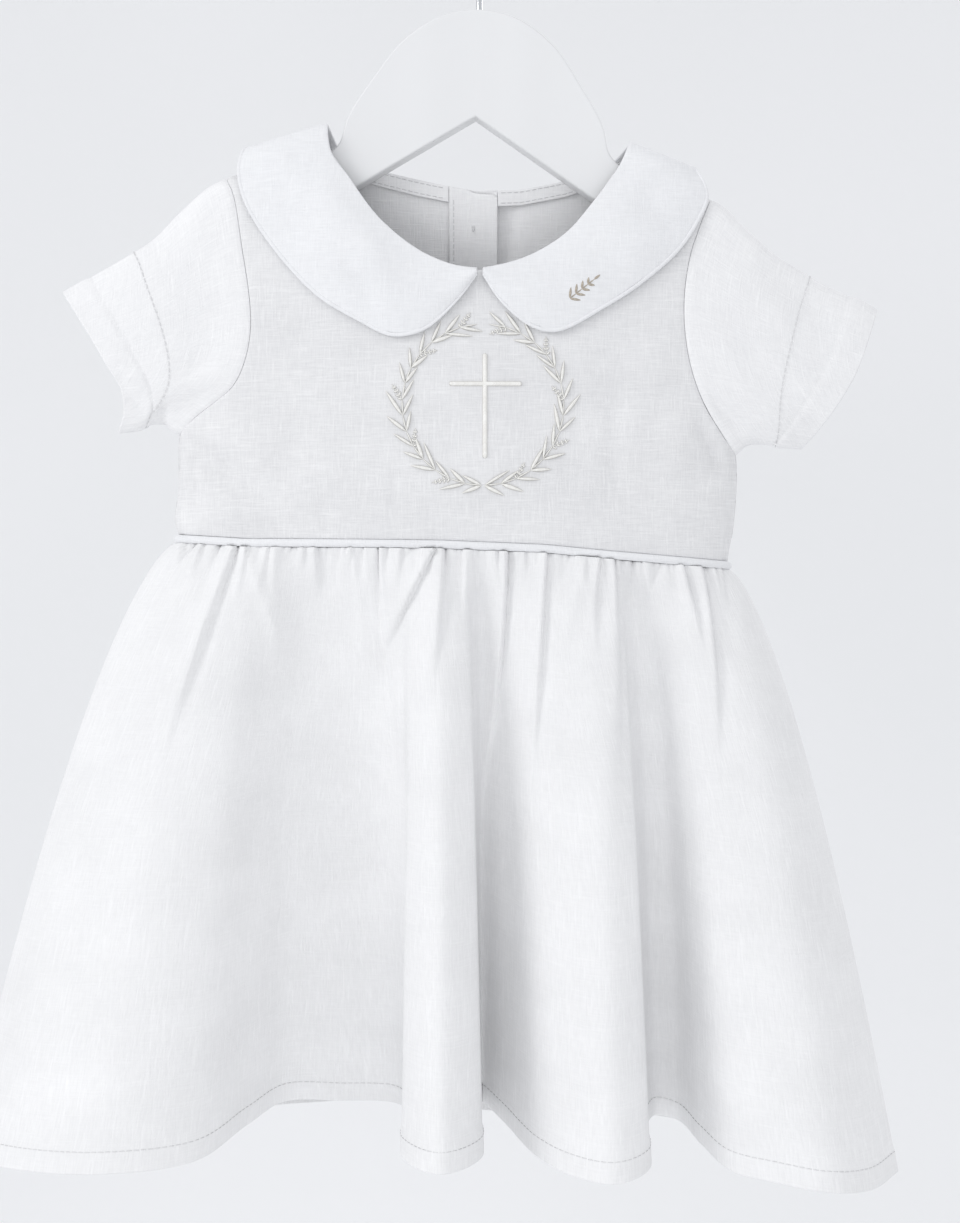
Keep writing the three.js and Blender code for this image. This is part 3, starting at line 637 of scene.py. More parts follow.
def front_grid():
    """The middle points of the bodice front, before its creases."""
    coarse = crowded(FRONT_COLUMNS)
    neck_from, neck_to = coarse[FRONT_NECK_COLUMN], coarse[FRONT_COLUMNS - FRONT_NECK_COLUMN]
    across, down = panel_steps(coarse, FRONT_SIZE, FRONT_FINER)
    shoulder = straight(left_tip, left_neck)(across / neck_from)
    other = straight(right_neck, right_tip)((across - neck_to) / (1 - neck_to))
    neck = outline(points_of(FRONT_NECK))((across - neck_from) / (neck_to - neck_from))
    on_left, on_right = across <= neck_from, across >= neck_to
    top = np.where(on_left[:, None], shoulder, np.where(on_right[:, None], other, neck))
    low = waist_edge(waist_x(across))
    left, right = raised_side(LEFT_SIDE)(down), raised_side(RIGHT_SIDE)(down)
    flat = mixed(low, top, left, right, across, down)
    sides = ((0, LEFT_SIDE), (-1, RIGHT_SIDE))
    return placed(flat, -panel_depth(flat, sides, on_left | on_right))


FRONT_CREASES = [
    # from x, z, to x, z, width, height, bow
    [-150, -262, -92, -300, 5, -1.6, 4],
    [-150, -272, -108, -306, 4, 1.2, 3],
    [-138, -258, -84, -270, 7, 1.4, -3],
    [-140, -260, -114, -286, 3, -1.2, 2],
    [-135.5, -266, -135.5, -302, 1.6, -0.8, 0],
    [-142, -300, -82, -303, 5, 1.0, 1],
    [-105, -296, -91, -309, 2.2, -0.9, 0],
    [-78, -296, -70, -309, 2, -0.7, 0],
    [-40, -274, -40, -310, 2, -0.6, 0],
    [-96, -216, -70, -238, 9, -0.8, 3],
    [64, -232, 63, -298, 6, -1.1, 0],
    [93, -242, 93, -292, 9, 1.1, 0],
    [100, -250, 117, -284, 4, -1.3, 1],
    [90, -303, 122, -310, 2.5, -1.1, 0.5],
    [76, -214, 88, -244, 8, 0.8, 1],
]


FRONT_CREASE_DEPTH = 1.35  # times the heights in the table
CREASE_FADE = 3  # how far from an edge a crease ends


def bodice_panel(name, points, rows, facing, material, deeper=1):
    """A bodice panel from its middle points: creased, and turned in at its seams."""
    height = deeper * creases(points[..., 0], points[..., 2], rows)
    distance = edge_distance(points)
    height = height * smooth(distance / CREASE_FADE) + seam_dip(distance)
    points = moved_out(points, height, facing)
    points[..., 1] = facing[1] * np.maximum(facing[1] * points[..., 1], SIDE_GAP)
    return cloth(name, points, LINEN, by_front_view(points), material)


def bodice_front():
    # The front's linen has the darker tones of painted shade
    return bodice_panel("bodice_front_cloth", front_grid(), FRONT_CREASES, FRONT, linen,
                        FRONT_CREASE_DEPTH)


def back_neck_z(x):
    return height_at(BACK_NECK, x)


OVERLAP_FROM, OVERLAP_RISE = 14, 11  # how far past the placket it ends, and over what width


def overlap_at(x):
    return OVERLAP * smooth((PLACKET_RIGHT_X + OVERLAP_FROM - x) / OVERLAP_RISE)


def back_grid(side, tip, neck, foot, placket_x, lift=0):
    """The middle points of one back panel, from its side seam to its edge at the opening."""
    coarse = crowded(BACK_COLUMNS)
    shoulder_to = coarse[BACK_NECK_COLUMN]
    across, down = panel_steps(coarse, BACK_SIZE, BACK_FINER)
    low_x, high_x = sorted((neck[0], placket_x))
    between = (BACK_NECK["x"] > low_x + 1) & (BACK_NECK["x"] < high_x - 1)
    inside = points_of(BACK_NECK)[between]
    if neck[0] > placket_x:
        inside = inside[::-1]
    placket_top = np.array([placket_x, back_neck_z(placket_x)])
    neck_curve = outline(np.vstack([neck, inside, placket_top]))
    shoulder = straight(tip, neck)(across / shoulder_to)
    neckline = neck_curve((across - shoulder_to) / (1 - shoulder_to))
    on_shoulder = across <= shoulder_to
    top = np.where(on_shoulder[:, None], shoulder, neckline)
    low = waist_edge(lerp(foot[0], placket_x, across))
    end = straight(low[-1], placket_top)(down)
    flat = mixed(low, top, raised_side(side)(down), end, across, down)
    depth = panel_depth(flat, ((0, side),), on_shoulder)
    return placed(flat, depth + lift * overlap_at(flat[..., 0]))


LEFT_BACK_CREASES = [
    [-150, -262, -96, -298, 6, -1.5, 4],
    [-146, -280, -104, -308, 4, 1.1, 3],
]
RIGHT_BACK_CREASES = [
    [128, -272, 84, -306, 6, -1.4, -4],
    [126, -286, 92, -316, 4, 1.1, -3],
]


def bodice_backs():
    """The two backs. The right one lies over the left one at the opening."""
    left = back_grid(LEFT_SIDE, left_tip, left_neck, left_foot, PLACKET_RIGHT_X)
    right = back_grid(RIGHT_SIDE, right_tip, right_neck, right_foot, PLACKET_LEFT_X, lift=1)
    return (
        # The backs' linen has the lighter tones of painted light
        bodice_panel("bodice_back_left_cloth", left, LEFT_BACK_CREASES, BACK, painted_lit_linen),
        bodice_panel("bodice_back_right_cloth", right, RIGHT_BACK_CREASES, BACK, painted_lit_linen),
    )


PLACKET_SLOPE = 1.4  # how far the placket's top edge falls from left to right
PLACKET_CORNER = 1.2  # how far its right corner is cut off
PLACKET_FOLDS = [
    # x of a fold line, how far the cloth steps forward to its right
    (-13.2, -0.15),
    (-5.9, 0.45),
]
FOLD_WIDTH = 0.8
STRIP_STEPS = (60, 16)
BINDING_SHOWN_X = 54  # how far the binding reaches to either side before the collar covers it
BINDING_DROP = 0.6  # of its top edge below the neck's edge
BUTT_GAP = 0.2  # between the binding and the placket


def inner_strip(name, from_x, to_x, top_z, bottom_z, folds=()):
    """A strip of cloth on the inner side of the back panels."""
    columns, rows = (np.linspace(0, 1, steps) for steps in STRIP_STEPS)
    across = with_round_edges(columns, to_x - from_x, BINDING_CLOTH)
    down = with_round_edges(rows, BINDING_WIDTH * 1.5, BINDING_CLOTH)
    x = np.broadcast_to(lerp(from_x, to_x, across), (len(down), len(across)))
    z = lerp(bottom_z(x), top_z(x), down[:, None])
    depth = bodice_depth(x, z) - BINDING_OFFSET
    for fold_x, step in folds:
        depth = depth - step * rise(x - fold_x, FOLD_WIDTH)
    points = placed(np.stack([x, z], axis=-1), depth)
    return cloth(name, points, BINDING_CLOTH, by_front_view(points), binding_linen)


def bindings():
    """The neck bindings on either side of the opening, and the placket between them."""
    def top(x):
        return back_neck_z(x) - BINDING_DROP

    def bottom(x):
        return back_neck_z(x) - BINDING_WIDTH

    def placket_foot(x):
        return waist_z(x) + WAIST_LIFT + 2

    def placket_top(x):
        share = (x - PLACKET_LEFT_X) / (PLACKET_RIGHT_X - PLACKET_LEFT_X)
        corner = PLACKET_CORNER * smooth((share - 0.88) / 0.12)
        return top(x) - PLACKET_SLOPE * smooth((share - 0.25) / 0.3) * (0.4 + share) - corner

    left_x, right_x = PLACKET_LEFT_X - BUTT_GAP, PLACKET_RIGHT_X + BUTT_GAP
    return (
        inner_strip("neck_binding_left", -BINDING_SHOWN_X, left_x, top, bottom),
        inner_strip("neck_binding_right", right_x, BINDING_SHOWN_X, top, bottom),
        inner_strip("placket_cloth", PLACKET_LEFT_X, PLACKET_RIGHT_X, placket_top, placket_foot,
                    PLACKET_FOLDS),
    )


OVERLAP_UNDER = (-27, 10)  # from which x the collar lies over the overlap, and how it rises
COLLAR_START = (1.1, -185)  # where its neck edge begins, right of the centre front
COLLAR_STEPS = np.unique([*np.linspace(0, 1, 90), 0.003, 0.006])
COLLAR_NEAR_EDGE = np.arange(0.3, 4.2, 0.3)  # steps that show how its edge is turned
COLLAR_ACROSS = np.unique([*np.linspace(0, 1, 44), *(1 - COLLAR_NEAR_EDGE / COLLAR_SIZE)])


def collar_part(edge, top, neck, side, columns, rows):
    """Half of a collar half, front or back, as columns from the neck to the outer edge."""
    start, stop = outline(neck)(columns), outline(points_of(edge))(columns)
    flat = lerp(start[:, None], stop[:, None], rows[None, :, None])
    x, z = flat[..., 0], flat[..., 1]
    puff = COLLAR_PUFF * np.sin(np.pi * rows)[None, :]
    from_x, rise = OVERLAP_UNDER
    under = overlap_at(x) * smooth((x - from_x) / rise) if side > 0 else 0
    depth = lens_depth(x, z) + COLLAR_OFFSET + puff + under
    return placed(flat, side * depth * folded_over(height_at(top, x) - z, COLLAR_ROUND))


COLLAR_ROLL = 0.22  # how far the turned edge stands up
COLLAR_ROLL_WIDTH = 1.25
COLLAR_ROLL_SOFT = 0.5
COLLAR_DIP = 0.16  # how deep the groove beside the turned edge is
LEFT_COLLAR_CREASES = [
    # from x, z, to x, z, width, height, bow
    [-66, -178, -46, -206, 5, -1.0, 0],
    [-90, -130, -34, -200, 9, 1.3, 2],
    [-100, -148, -64, -192, 10, -1.1, -3],
    [-56, -158, -38, -216, 6, 0.7, 0],
    [-106, -128, -78, -150, 8, 0.6, 2],
]
RIGHT_COLLAR_CREASES = [
    [62, -144, 76, -190, 10, 0.8, 2],
    [84, -136, 66, -180, 8, -0.8, 0],
    [76, -146, 94, -172, 3.5, -0.5, 1],
    [30, -176, 46, -214, 8, -0.6, 2],
]


def collar_half(name, front, back, top, end, rows):
    """One collar half from the centre front over the shoulder to the centre back."""
    side = -1 if end < 0 else 1
    neck_top = points_of(top)[min(side, 0)]
    limit = abs((left_neck if end < 0 else right_neck)[0])

    def neck_between(neck, start):
        """The neck's points between the collar's end and the shoulder, by x."""
        out = neck["x"] * side
        return points_of(neck)[(out > start) & (out < limit)][::side]

    first = [COLLAR_START[0] * side, COLLAR_START[1]]
    last = [end, float(back_neck_z(end))]
    front_neck = np.vstack([first, neck_between(FRONT_NECK, 1), neck_top])
    back_neck = np.vstack([neck_top, neck_between(BACK_NECK, abs(end))[::-1], last])
    across = with_round_edges(COLLAR_ACROSS, COLLAR_SIZE, COLLAR_CLOTH)
    behind = 1 - COLLAR_STEPS[::-1][1:]
    points = np.concatenate([
        collar_part(front, top, front_neck, -1, COLLAR_STEPS, across),
        collar_part(back, top, back_neck, 1, behind, across),
    ])
    from_edge = run_of(points[:, ::-1], 1)[:, ::-1]
    before_end = COLLAR_ROLL_WIDTH - from_edge
    roll = COLLAR_ROLL * rise(before_end, COLLAR_ROLL_SOFT)
    roll -= COLLAR_DIP * bell(before_end / COLLAR_ROLL_SOFT + 1)
    height = creases(points[..., 0], points[..., 2], rows) * (points[..., 1] < 0) + roll
    points = moved_out(points, height, np.sign(points[..., 1:2]) * BACK)
    return cloth(name, points, COLLAR_CLOTH, by_front_view(points), collar_linen)


def collars():
    return (
        collar_half("collar_left_cloth", LEFT_COLLAR_FRONT, LEFT_COLLAR_BACK, LEFT_COLLAR_TOP,
                    COLLAR_LEFT_END, LEFT_COLLAR_CREASES),
        collar_half("collar_right_cloth", RIGHT_COLLAR_FRONT, RIGHT_COLLAR_BACK,
                    RIGHT_COLLAR_TOP, COLLAR_RIGHT_END, RIGHT_COLLAR_CREASES),
    )


SLEEVE_ROWS = 60
SLEEVE_COLUMNS = 120  # round the sleeve
GAP_SHARE = 0.1  # of its length, over which the gap at the armhole closes
OPENS = 2.2  # how fast it opens from the armhole's depth to its own


def sleeve_grid(side, top, under, cuff):
    """An open flattened tube: rows from the armhole to the cuff, columns round the sleeve."""
    down = with_round_edges(np.linspace(0, 1, SLEEVE_ROWS), SLEEVE_SIZE, HEM_CLOTH)
    angle = np.linspace(0, 2 * np.pi, SLEEVE_COLUMNS + 1)[:-1]
    share = (1 - np.cos(angle)) / 2
    armhole = outline(points_of(side)[UNDERARM:])(share)
    top_line, under_line = outline(points_of(top)), outline(points_of(under))
    cuff_line = outline(points_of(cuff))(share)

    def at(places):
        start, stop = under_line(places)[:, None], top_line(places)[:, None]
        v, u = places[:, None, None], share[None, :, None]
        low = lerp(under_line(0.0), under_line(1.0), v)
        high = lerp(top_line(0.0), top_line(1.0), v)
        return lerp(armhole[None], cuff_line[None], v) + lerp(start, stop, u) - lerp(low, high, u)

    here, ahead = at(down), at(down + GAP_SHARE)
    step = np.linalg.norm(ahead - here, axis=2, keepdims=True)
    clear = ARMHOLE_GAP * np.clip(1 - down / GAP_SHARE, 0, 1)[:, None, None]
    flat = here + (ahead - here) * clear / np.maximum(step, 1e-6)
    tube = lerp(SLEEVE_DEPTH, CUFF_DEPTH, smooth(down * 2 - 1))[:, None] * np.abs(np.sin(angle))
    seam = bodice_depth(armhole[:, 0], armhole[:, 1])[None]
    depth = np.maximum(lerp(seam, tube, smooth(down * OPENS)[:, None]), 0)
    return placed(flat, -np.sign(np.sin(angle)) * depth), down, share


SLEEVE_HEM = 14
HEM_RAISED = 0.25  # how far the cloth stands out where it is turned up
HEM_EDGE = 0.8  # over what width it rises
HEM_DIP = (0.35, 0.9)  # depth and width of the groove that the hem's stitches pull in
HEM_STITCH = (2.5, 0.7, 0.2)  # length, gap and radius of a stitch
STITCH_DROP = 1.2  # of a hem's stitches below its upper edge
BEHIND_CREASES = 0.7  # times the heights in the table, at the back of a sleeve
LEFT_SLEEVE_CREASES = [
    # from x, z, to x, z, width, height, bow
    [-176, -232, -156, -256, 3.5, -1.3, 1],
    [-182, -222, -158, -242, 5, 1.2, 1],
    [-150.5, -246, -152, -266, 2, -1.2, 0],
    [-116, -192, -148, -216, 9, -1.0, 3],
    [-116, -230, -152, -248, 5, 1.2, -2],
    [-126, -158, -162, -198, 10, 1.0, 0],
    [-120, -214, -140, -236, 6, -0.8, 2],
]
RIGHT_SLEEVE_CREASES = [
    [100, -245, 116, -256, 2.6, 1.0, 1],
    [104, -242, 128, -264, 4, -1.3, 2],
    [116, -220, 152, -248, 9, -1.1, 3],
    [110, -184, 152, -216, 10, 1.0, 2],
    [130, -172, 172, -218, 8, -0.9, 0],
    [128, -248, 150, -268, 5, 0.9, 2],
]


def hem_stitches(points, from_hem, hem, toward, closed=False):
    """Stitches on the outer face of the cloth, right below the upper edge of its hem."""
    row = np.abs(from_hem[:, 0] - hem + STITCH_DROP).argmin()
    normals = facing_to(points, toward, closed)[row]
    line = points[row] + normals * HEM_CLOTH / 2
    if closed:
        line, normals = (np.vstack([values, values[:1]]) for values in (line, normals))
    return stitch_line(line, normals, *HEM_STITCH)


def sleeve(name, side, top, under, cuff, rows):
    points, down, share = sleeve_grid(side, top, under, cuff)
    along = run_of(points)
    from_hem = along[-1:] - along
    hem = rise(SLEEVE_HEM - from_hem, HEM_EDGE)
    in_front = lerp(BEHIND_CREASES, 1, points[..., 1] <= 0)
    height = creases(points[..., 0], points[..., 2], rows) * in_front
    height += seam_dip(along) + HEM_RAISED * hem
    deep, wide = HEM_DIP
    height -= deep * bell((from_hem - SLEEVE_HEM) / wide)
    toward = points - points.mean(axis=1, keepdims=True)
    points = moved_out(points, height, toward, closed=True)
    half = len(share) // 2 + 1
    around = np.concatenate([share[:half], 2 - share[half:], [2]]) * SLEEVE_CUT / 2
    weave = np.stack([np.broadcast_to(around, (len(down), len(around))),
                      np.hstack([along, along[:, :1]])], axis=-1)
    stitches = hem_stitches(points, from_hem, SLEEVE_HEM, toward, closed=True)
    # The sleeve's linen has the lighter tones of painted light
    piece = cloth(name, points, lerp(LINEN, HEM_CLOTH, hem), weave, painted_lit_linen, closed=True)
    return piece, stitches


def sleeves():
    return (
        sleeve("sleeve_left_cloth", LEFT_SIDE, LEFT_SLEEVE_TOP, LEFT_SLEEVE_UNDER, LEFT_CUFF,
               LEFT_SLEEVE_CREASES),
        sleeve("sleeve_right_cloth", RIGHT_SIDE, RIGHT_SLEEVE_TOP, RIGHT_SLEEVE_UNDER,
               RIGHT_CUFF, RIGHT_SLEEVE_CREASES),
    )


waist_centre_x = (left_foot[0] + right_foot[0]) / 2
waist_half = (right_foot[0] - left_foot[0]) / 2


def waist_ring(angle):
    """Points of the waist seen from above, and the way out of it."""
    x, y = waist_centre_x + waist_half * np.cos(angle), WAIST_DEPTH * np.sin(angle)
    out = np.stack([np.cos(angle) / waist_half, np.sin(angle) / WAIST_DEPTH, 0 * angle], axis=-1)
    return x, y, out / np.linalg.norm(out, axis=-1, keepdims=True)


PIPING_SIDES = 14
PIPING_STEPS = 480
PIPING_CLOTH = (560, 12)  # how far the strip's cloth goes along the cord and round it


def waist_piping():
    """The corded strip in the waist seam, as a closed ring."""
    turn = np.linspace(0, 2 * np.pi, PIPING_SIDES + 1)[:-1, None, None]
    x, y, out = waist_ring(np.linspace(0, 2 * np.pi, PIPING_STEPS + 1)[:-1])
    centre = np.stack([x, y, waist_z(x)], axis=-1)
    ring = np.cos(turn) * out[None] + np.sin(turn) * np.array([0, 0, 1])
    points = (centre[None] + PIPING_RADIUS * ring).reshape(-1, 3)
    row, column = (index.ravel() for index in np.mgrid[0:PIPING_SIDES, 0:PIPING_STEPS])
    corners = [(row, column), (row + 1, column), (row + 1, column + 1), (row, column + 1)]
    faces = np.stack([(r % PIPING_SIDES) * PIPING_STEPS + c % PIPING_STEPS
                      for r, c in corners], axis=1)
    length, width = PIPING_CLOTH
    uv = np.stack([np.stack([c / PIPING_STEPS * length, r / PIPING_SIDES * width], axis=-1)
                   for r, c in corners], axis=1)
    return new_object("waist_piping_cord", points, faces.tolist(), uv, collar_linen)


SKIRT_HEM = 12
SKIRT_HEM_EDGE = 0.9  # over what width the cloth rises where it is turned up
SKIRT_COLUMNS = 430
SKIRT_STEPS = np.linspace(0, 1, 100) ** 1.15  # closer together near the waist


def skirt_grid(folds, facing):
    """One skirt panel from its gathered waist to its hem, with its shares across and down."""
    wide, tall = SKIRT_SIZE
    columns = with_round_edges(np.linspace(0, 1, SKIRT_COLUMNS), wide, LINEN)
    down = with_round_edges([*SKIRT_STEPS, 1 - SKIRT_HEM / tall], tall, HEM_CLOTH)
    order = np.arange(len(folds["waist"])) / (len(folds["waist"]) - 1)
    hem = spline(points_of(folds, "xyz"))
    run = np.hypot(np.diff(folds["x"]), np.diff(folds["y"]))
    hem_share = np.concatenate([[0], np.cumsum(run)]) / run.sum()
    by_hem = smooth(down * 2)[:, None]
    progress = lerp(folds["waist"][None], hem_share[None], by_hem)
    share = np.stack([np.interp(columns, row, folds["waist"]) for row in progress])
    x = waist_x(share)
    angle = np.arccos(np.clip((x - waist_centre_x) / waist_half, -1, 1))
    _, y, out = waist_ring(facing * angle)
    y = facing * np.maximum(np.abs(y), SKIRT_SEAM)
    low = hem(np.interp(share, folds["waist"], order * (len(order) - 1)))
    v = down[:, None]
    points = np.stack([
        lerp(x, low[..., 0], v**FLARE_POWER),
        lerp(y, low[..., 1], v**FOLD_POWER),
        lerp(waist_z(x) - WAIST_LIFT, low[..., 2], v),
    ], axis=-1)
    return points, columns, down, share, out


# Creases that run down from the waist seam, as x at the seam, x at the lower end, drop, bow to
# the right at the middle, kind, height and how far it spreads to the sides. A fold is raised on
# its left and drops on its right, a lap the other way round
GATHERS = [
    # x, to x, drop, bow, kind, tall, spread
    (-135, -155, 20, 1, "trough", 1.6, 4),
    (-123.4, -130, 22, 0, "trough", 2.0, 4),
    (-115, -137, 70, -1, "fold", 2.2, 8),
    (-110, -93, 62, 3, "ridge", 1.6, 4),
    (-96, -95, 50, -2, "ridge", 1.5, 4),
    (-88.5, -91, 8, 0, "trough", 1.6, 3),
    (-77, -76, 17, 0, "fold", 1.6, 5),
    (-62.5, -63, 6, 0, "trough", 1.6, 3),
    (-60, -55, 60, 1.5, "ridge", 1.3, 4),
    (-47, -32, 90, -6, "lap", 1.9, 9),
    (-43, -45, 18, 0, "trough", 1.2, 3),
    (-32, -34, 5, 0, "trough", 1.4, 3),
    (-21, -41, 40, 0, "fold", 2.0, 7),
    (-17, -21, 46, 1.5, "fold", 2.4, 7),
    (-7.5, -8, 22, 0, "lap", 1.7, 6),
    (-0.5, -2, 6, 0, "trough", 1.4, 3),
    (8.7, 8.2, 9, 0, "trough", 1.6, 3),
    (12.6, 1, 96, 4, "fold", 2.3, 9),
    (31, 26.6, 84, 0, "fold", 2.1, 7),
    (42, 40, 9, 0, "trough", 1.6, 3),
    (49.6, 40.5, 40, -1, "ridge", 1.6, 5),
    (56, 56, 33, -2, "fold", 1.6, 6),
    (62.7, 62.7, 76, 2.5, "fold", 2.4, 8),
    (67.6, 67.4, 6, 0, "trough", 1.5, 3),
    (72.5, 66.4, 38, 1, "trough", 1.9, 4),
    (85.6, 71.5, 38, -1, "trough", 1.1, 5),
    (91.7, 94.5, 14, 0, "trough", 1.5, 3),
    (95, 102.4, 31, 1, "fold", 1.9, 5),
    (104.7, 109.4, 64, 3, "fold", 2.4, 8),
    (107.8, 121, 44, 1, "trough", 1.3, 5),
]
CREASE_EDGE = (0.8, 4)  # width of the steep side of a fold, at the waist and at its end
SPREAD_GROWS = (0.45, 1.5)  # times the spread, at the waist and at its end
TOP_ROUND = (0.3, 4)  # how round its top is, at the waist and at its end
GATHER_DEPTH = 1.75  # times the heights in the table
GATHER_SPREAD = 1.35
GATHER_LENGTH = 1.6
GATHER_FADE = 0.7  # the share of its length over which a gather ends
TROUGH_SPREAD = 0.45  # times the spread of a ridge
UNDERCUT = 0.35  # how deep the groove at the foot of a fold's steep side is


def gather_height(x, drop, rows):
    """Height of the gathers over a panel, from x and the distance below the waist."""
    height = np.zeros(x.shape)
    for from_x, to_x, drop_to, bow, kind, tall, spread in rows:
        along = np.clip(drop / (drop_to * GATHER_LENGTH), 0, 1)
        at_x = from_x + (to_x - from_x) * along * GATHER_LENGTH
        off = x - at_x - 4 * bow * along * (1 - along)
        reach_out = GATHER_SPREAD * spread * lerp(*SPREAD_GROWS, along)
        near = np.hypot(off, lerp(*TOP_ROUND, along))
        tail = np.exp(-near / reach_out)
        if kind == "ridge":
            shape = tail
        elif kind == "trough":
            shape = -np.exp(-near / (TROUGH_SPREAD * reach_out))
        else:
            side = off if kind == "fold" else -off
            edge = lerp(*CREASE_EDGE, along)
            shape = tail * rise(-side, edge)
            shape -= UNDERCUT * bell((side - edge) / (1.3 * edge))
        height += tall * shape * smooth((1 - along) / GATHER_FADE)
    return GATHER_DEPTH * height


FINE_GATHERS = (48, 3)  # how many there are, and how far the first is from the side seam
UNSEEN_GATHERS = (31, 7)


def spaced(count, margin):
    """Places for gathers along the waist, evenly spaced between its side seams."""
    step = (right_foot[0] - left_foot[0] - 2 * margin) / (count - 1)
    return [left_foot[0] + margin + step * i for i in range(count)]


def outward_share(x):
    """How far a place at the waist is from its middle, from -1 on the left to 1."""
    return (x - waist_centre_x) / waist_half


def fine_gathers(seed):
    """The short pinches right below the seam, between the long gathers."""
    source = np.random.default_rng(seed)
    made = []
    for place in spaced(*FINE_GATHERS):
        x = place + source.uniform(-1.8, 1.8)
        length = source.uniform(7, 20)
        lean = outward_share(x) * length * 0.2 + source.uniform(-1, 1)
        kind = ("trough", "trough", "fold", "lap")[source.integers(4)]
        made.append((x, x + lean, length, 0, kind, source.uniform(0.7, 1.15), 2.8))
    return made


def unseen_gathers(seed):
    """Gathers for the back panel, like those of the front in number, length and depth."""
    source = np.random.default_rng(seed)
    kinds = ("trough", "fold", "lap", "ridge")
    made = []
    for place in spaced(*UNSEEN_GATHERS):
        x = place + source.uniform(-2.4, 2.4)
        length = source.choice([8, 18, 36, 60, 85]) * source.uniform(0.8, 1.2)
        kind = kinds[source.choice(4, p=[0.35, 0.3, 0.15, 0.2])]
        lean = outward_share(x) * length * 0.16 + source.uniform(-0.06, 0.06) * length
        bow, tall = source.uniform(-2, 2), source.uniform(1.3, 2.3)
        made.append((x, x + lean, length, bow, kind, tall, 3 + length * 0.06))
    return made


SEAM_DIP = (0.6, 2.2)  # how deep and how wide a skirt panel turns in at the waist


def skirt(name, folds, facing, gathers, width):
    points, columns, down, share, out = skirt_grid(folds, facing)
    drop = waist_z(waist_x(share)) - WAIST_LIFT - points[..., 2]
    height = gather_height(points[..., 0], drop, gathers)
    from_hem = SKIRT_SIZE[1] * (1 - down)[:, None] + 0 * share
    hem = rise(SKIRT_HEM - from_hem, SKIRT_HEM_EDGE)
    points = points + out * (height + seam_dip(drop, *SEAM_DIP))[..., None]
    points = moved_out(points, HEM_RAISED * hem, facing * BACK)
    weave = np.stack([
        np.broadcast_to(columns * width, share.shape),
        np.broadcast_to(-down[:, None] * SKIRT_LENGTH, share.shape),
    ], axis=-1)
    stitches = hem_stitches(points, from_hem, SKIRT_HEM, facing * BACK)
    # The skirt's linen has the lighter tones of painted light
    return cloth(name, points, lerp(LINEN, HEM_CLOTH, hem), weave, skirt_painted_lit_linen), stitches


def skirts():
    in_front, behind = GATHERS + fine_gathers(9), unseen_gathers(5) + fine_gathers(3)
    return (
        skirt("skirt_front_cloth", FRONT_FOLDS, -1, in_front, FRONT_WIDTH),
        skirt("skirt_back_cloth", BACK_FOLDS, 1, behind, BACK_WIDTH),
    )


def node(tree, kind, inputs=(), **settings):
    """A shader node with its settings, and its inputs as (socket, value or output) pairs."""
    made = tree.nodes.new("ShaderNode" + kind)
    for name, value in settings.items():
        setattr(made, name, value)
    for name, value in inputs:
        if isinstance(value, bpy.types.NodeSocket):
            tree.links.new(value, made.inputs[name])
        else:
            made.inputs[name].default_value = value
    return made


def math_node(tree, operation, a, b):
    return node(tree, "Math", [(0, a), (1, b)], operation=operation).outputs[0]


def stretched_noise(tree, coordinates, across, along, seed, detail=1.0):
    """Noise drawn out into threads: across and along are its sizes in metres."""
    place = node(tree, "Mapping", [
        ("Vector", coordinates),
        ("Scale", (1 / across, 1 / along, 1)),
        ("Location", (seed, seed * 0.37, seed * 1.7)),
    ])
    noise = node(tree, "TexNoise", [
        ("Vector", place.outputs[0]),
        ("Scale", 1.0),
        ("Detail", detail),
        ("Roughness", 0.6),
    ])
    return noise.outputs["Fac"]


def ranged(tree, value, low, high, to_low, to_high):
    return node(tree, "MapRange", [
        ("Value", value),
        ("From Min", low),
        ("From Max", high),
        ("To Min", to_low),
        ("To Max", to_high),
    ]).outputs[0]


def new_material(name, roughness, **sockets):
    """A material with one principled shader, whose constants sit on its own sockets."""
    material = bpy.data.materials.new(name)
    material.use_nodes = True
    tree = material.node_tree
    shader = tree.nodes["Principled BSDF"]
    shader.inputs["Roughness"].default_value = roughness
    for socket, value in sockets.items():
        shader.inputs[socket.replace("_", " ")].default_value = value
    return material, tree, shader


def colour_mix(tree, factor, low, high):
    """A mix of a tone with another tone, or with another node's colour."""
    if not isinstance(high, bpy.types.NodeSocket):
        high = (*high, 1)
    inputs = [("Factor", factor), ("A", (*low, 1)), ("B", high)]
    return node(tree, "Mix", inputs, data_type="RGBA").outputs["Result"]


def tinted(tree, shader, noise, span, dark, light):
    """Colours a shader between two tones, over a span of a noise's values."""
    mix = colour_mix(tree, ranged(tree, noise, *span, 0.0, 1.0), dark, light)
    tree.links.new(mix, shader.inputs["Base Color"])


def roughened(tree, shader, noise, span, roughness):
    """Lets a shader's roughness follow a noise."""
    tree.links.new(ranged(tree, noise, *span, *roughness), shader.inputs["Roughness"])


def add_bump(tree, shader, height, strength, distance):
    bump = node(tree, "Bump", [
        ("Height", height),
        ("Strength", strength),
        ("Distance", distance),
    ])
    tree.links.new(bump.outputs[0], shader.inputs["Normal"])


# How far the weave's noises reach across and along a thread, in metres
THREAD_SIZE = (0.0005, 0.007)
SLUB_SIZE = (0.0008, 0.013)
CLOUD_SIZE = (0.035, 0.03)


